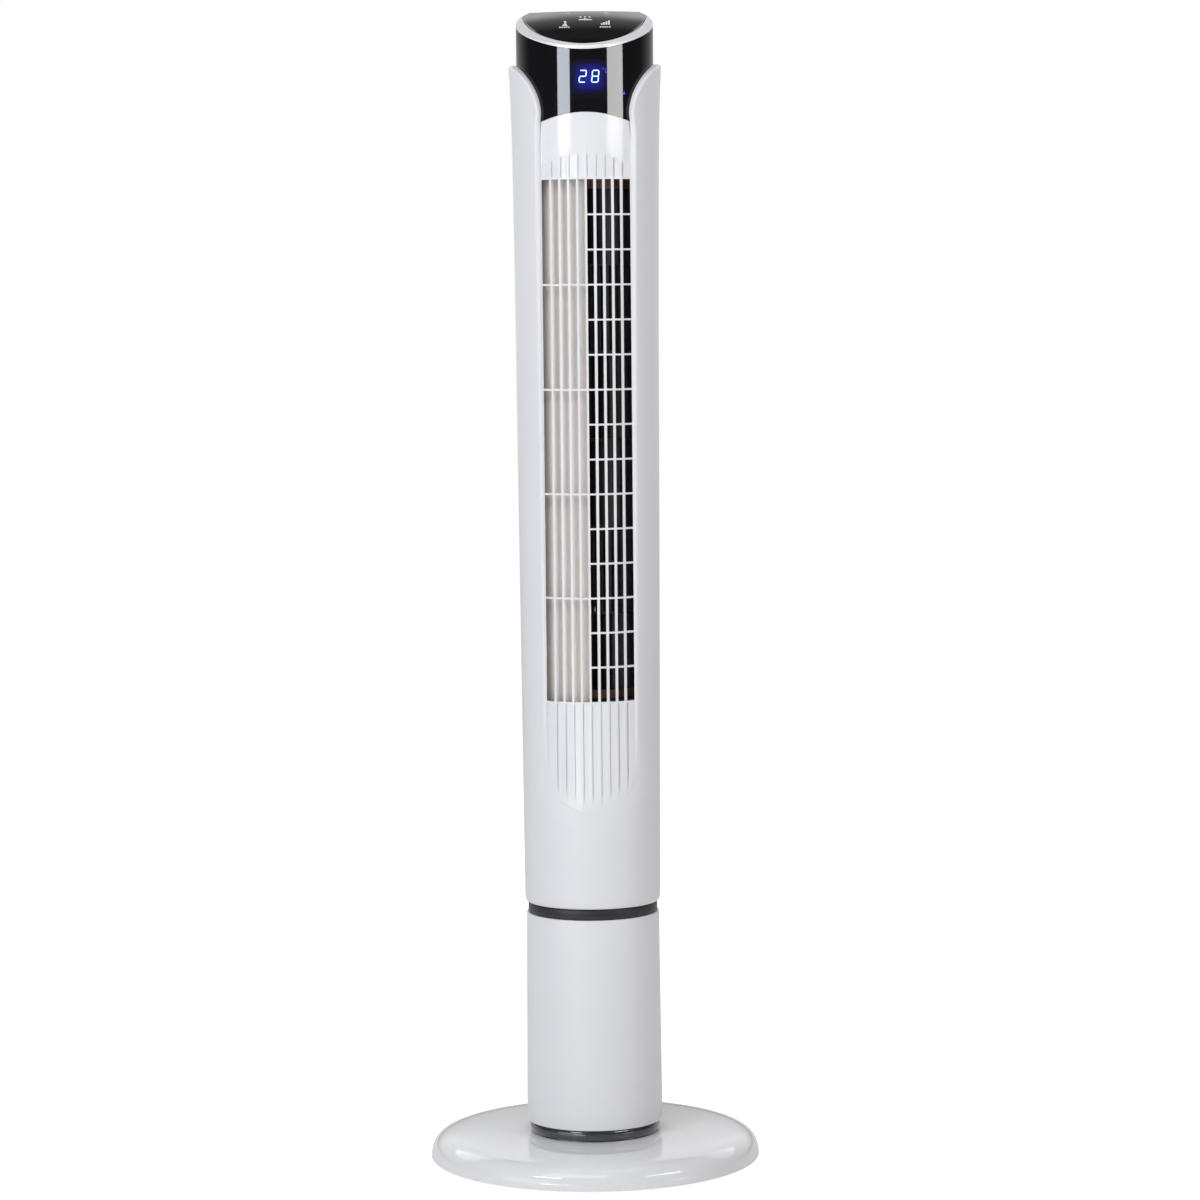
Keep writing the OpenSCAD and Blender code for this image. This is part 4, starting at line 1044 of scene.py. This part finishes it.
def make_display():
    """Display glass with its lit digits and unit sign, and the indicator's lens."""
    low, high = mm_box("display_window")
    us = spread(-high.x, high.x, 40)
    zs = [low.z] + spread(low.z + 0.2, high.z - 0.2, 20) + [high.z]
    outer, inner = [[[polar(HEAD_R + 0.012 - depth, math.asin(u / HEAD_R), z) for u in us] for z in zs]
                    for depth in (0, 2)]
    finish_mesh("display_window_skin", slab(outer, inner), "tower", "display_black", ("display_window",), sharp=40)
    finish_mesh("display_digits", join(*digit(-1.9, "2"), *digit(10.5, "8")), "tower", "digit_glow",
                ("display_segments",))
    unit = [thin_ring(18.4, 1104.6, 0.9, 0.35, on_head, 0.1),
            plate(unit_arc(1.9, 2.2, 55, 305) + unit_arc(1.45, 1.75, 305, 55), 0.1, on_head)]
    finish_mesh("display_unit", join(*unit), "tower", "violet_glow")
    lens = plate(circle(HEAD_R * math.sin(LED_ANGLE), LED_Z, 1.4, 24), 0.12, on_head)
    finish_mesh("indicator_lens", lens, "tower", "violet_glow", ("indicator_led",))


# ---- Air path ----

WHEEL_X, WHEEL_Y, WHEEL_LOW, WHEEL_HIGH = 8.0, 8.0, 474.0, 998.0
CAGES, VANES, DISC = 6, 30, 2.0


def wheel_ring(r_in, r_out, low, high):
    verts, faces = revolve([(r_in, low), (r_out, low), (r_out, high), (r_in, high)], 96)
    return [(x + WHEEL_X, y + WHEEL_Y, z) for x, y, z in verts], faces


def vane_outline(turn):
    """Outline of one thin curved vane, seen along the wheel's axis."""
    line = [(33.6 + 7.9 * t, turn + 0.16 * t * t) for t in spread(0, 1, 5)]
    edges = [(r, a - 0.5 / r) for r, a in line] + [(r, a + 0.5 / r) for r, a in line[::-1]]
    return [(r * math.cos(a) + WHEEL_X, r * math.sin(a) + WHEEL_Y) for r, a in edges]


def make_impeller():
    """Crossflow wheel: short cages of curved vanes between thin discs, each turned a little."""
    low, high = WHEEL_LOW, WHEEL_HIGH
    cage = (high - low) / CAGES
    parts = []
    for s in range(CAGES + 1):
        z = low + s * cage - (DISC if s == CAGES else 0.0)
        hole = 4.02 if s == 0 else 3.02 if s == CAGES else 31.0
        parts.append(wheel_ring(hole, 42.0, z, z + DISC))
    parts += [wheel_ring(4.02, 10.0, low - 6, low + 10), wheel_ring(3.02, 8.0, high - 10, high)]
    for s in range(CAGES):
        z0 = low + s * cage + (0.5 if s == 0 else 1.0)
        z1 = low + (s + 1) * cage + (-0.5 if s == CAGES - 1 else 1.0)
        for k in range(VANES):
            outline = vane_outline(2 * PI * (k + s * 0.33) / VANES)
            parts.append(plate(outline, z1 - z0, lambda u, v, w, base=z0: (u, v, base + w)))
    finish_mesh("impeller_vanes", join(*parts), "impeller", "impeller_black", ("impeller",), sharp=35)
    bands = [wheel_ring(41.6, 42.3, z, z + 8.5) for z in (low + 2, high - 10.5)]
    finish_mesh("impeller_bands", join(*bands), "impeller", "impeller_black", material="wheel_brown", bevel=0.2)


# ---- Build ----

make_base()
make_feet()
make_collar()
make_column()
make_seam_ring()
make_front_housing()
make_rear_housing()
make_screw_wells()
make_intake()
make_handle()
make_front_grille()
make_head()
make_top_rim()
make_control_panel()
make_icons()
make_display()
make_impeller()

for part in frame["record"]["subparts"]:
    carried = frame["nodes"].get(part["node"])
    if carried is not None:
        carried.data.materials.clear()
        carried.data.materials.append(MATERIALS[part["material_slot"]])


# ---- Floor, light and camera ----

FLOOR_HALF = 14.0
FLOOR_LIT, FLOOR_SEEN = 0.3, 0.93


def make_stage():
    """Pale floor. It glows a little, and more where the camera sees it, so that it stays plain."""
    mesh = bpy.data.meshes.new("floor")
    h = FLOOR_HALF
    mesh.from_pydata([(-h, -h, 0), (h, -h, 0), (h, h, 0), (-h, h, 0)], [], [(0, 1, 2, 3)])
    floor = add_object("floor", mesh)
    tree, shader, place = node_material("floor")
    seen = add_node(tree, "LightPath").outputs["Is Camera Ray"]
    pale = ramp(tree, noise(tree, place, 2.0), 0.3, 0.7, (0.52, 0.52, 0.525), (0.54, 0.54, 0.545))
    put(shader, Base_Color=pale, Roughness=0.9, Specular_IOR_Level=0.0, Emission_Color=(1, 1, 1, 1),
        Emission_Strength=remap(tree, seen, 0, 1, FLOOR_LIT, FLOOR_SEEN))
    mesh.materials.append(MATERIALS["floor"])


def softbox(name, azimuth, distance, z, width, height, radiance, colour=(1, 1, 1), aim_z=None):
    """Area light that faces the body's axis. Azimuth is from the front toward +X."""
    light = bpy.data.lights.new(name, "AREA")
    light.shape = "RECTANGLE"
    light.size, light.size_y = width, height
    light.energy = radiance * width * height * PI
    light.color = colour
    lamp = add_object(name, light)
    lamp.location = polar(distance, math.radians(azimuth), z)
    aim = Vector((0, 0, z if aim_z is None else aim_z)) - lamp.location
    lamp.rotation_euler = aim.to_track_quat("-Z", "Y").to_euler()


SKY_PEAK, SKY_FRONT = 1.25, 0.12
# Sine of the elevation and brightness there. The steep part shades the touch panel, which mirrors it.
SKY = ((0.0, 0.92), (0.10, 0.92), (0.155, 0.42), (0.20, 0.44), (0.26, 0.86), (0.40, 0.86), (0.505, 1.0),
       (0.527, 0.92), (0.537, 0.76), (0.5476, 0.55), (0.558, 0.37), (0.568, 0.26), (0.588, 0.19),
       (0.607, 0.12), (0.627, 0.036), (0.66, 0.06), (0.675, 0.02), (1.0, 0.02))


def make_world():
    """Bright low sky behind the object, darker in front and overhead. The camera sees plain white."""
    world = bpy.data.worlds.new("studio")
    bpy.context.scene.world = world
    world.use_nodes = True
    tree = world.node_tree
    tree.nodes.clear()
    parts = add_node(tree, "SeparateXYZ", Vector=add_node(tree, "TexCoord").outputs["Generated"])
    back = remap(tree, parts.outputs["Y"], 0.30, 0.85, SKY_FRONT * SKY_PEAK, SKY_PEAK)
    height = add_node(tree, "ValToRGB", Fac=parts.outputs["Z"])
    steps = height.color_ramp.elements
    for sine, level in SKY:
        spot = steps[0] if sine == 0.0 else steps[1] if sine == 1.0 else steps.new(sine)
        spot.color = (level, level, level, 1)
    product = add_node(tree, "Math")
    product.operation = "MULTIPLY"
    tree.links.new(back, product.inputs[0])
    tree.links.new(height.outputs["Color"], product.inputs[1])
    lit = add_node(tree, "Background", Color=(1, 1, 1, 1), Strength=product.outputs["Value"])
    seen = add_node(tree, "Background", Color=(1, 1, 1, 1), Strength=1.0)
    mix = add_node(tree, "MixShader", Fac=add_node(tree, "LightPath").outputs["Is Camera Ray"])
    for side, shown in ((1, lit), (2, seen)):
        tree.links.new(shown.outputs["Background"], mix.inputs[side])
    add_node(tree, "OutputWorld", Surface=mix.outputs["Shader"])


CAMERA_PLACE = (0.0102, -3.892, 0.911)
LENS, LOOK_DOWN, ROLL = 115.4, 4.97, 0.55


def make_camera():
    data = bpy.data.cameras.new("camera")
    data.lens = LENS
    data.sensor_width = 36.0
    camera = add_object("camera", data)
    tilt = Matrix.Rotation(math.radians(90 - LOOK_DOWN), 4, "X")
    roll = Matrix.Rotation(math.radians(-ROLL), 4, "Z")
    camera.matrix_world = Matrix.Translation(CAMERA_PLACE) @ tilt @ roll
    bpy.context.scene.camera = camera


make_stage()
make_world()
# Two tall bands on the head, then the key and the fills. The low ones give the base its glints.
softbox("strip_left", -35.4, 2.0, 1.20, 0.74, 0.26, 14.4, (0.84, 0.90, 1.0))
softbox("strip_right", 51.4, 2.0, 1.20, 1.0, 0.26, 11.8, (1.0, 1.0, 0.995))
softbox("key_top", -18, 2.6, 3.0, 2.8, 1.6, 3.05, (0.98, 0.975, 1.0), aim_z=0.6)
softbox("fill_left", -48, 3.0, 0.52, 2.0, 0.9, 1.9, (0.99, 0.985, 1.0))
softbox("low_left", -26.6, 2.0, 0.16, 0.7, 0.12, 8.5, (0.99, 0.985, 1.0))
softbox("low_right", 60, 2.0, 0.13, 0.7, 0.12, 3.4)
softbox("overhead", 0, 0.05, 3.2, 2.0, 2.0, 1.3, aim_z=0.0)
softbox("back_left", -140, 2.6, 1.9, 2.0, 0.8, 1.9, aim_z=0.4)
softbox("back_right", 140, 2.6, 1.9, 2.0, 0.8, 1.4, aim_z=0.4)
make_camera()
bpy.context.scene.view_settings.view_transform = "Standard"
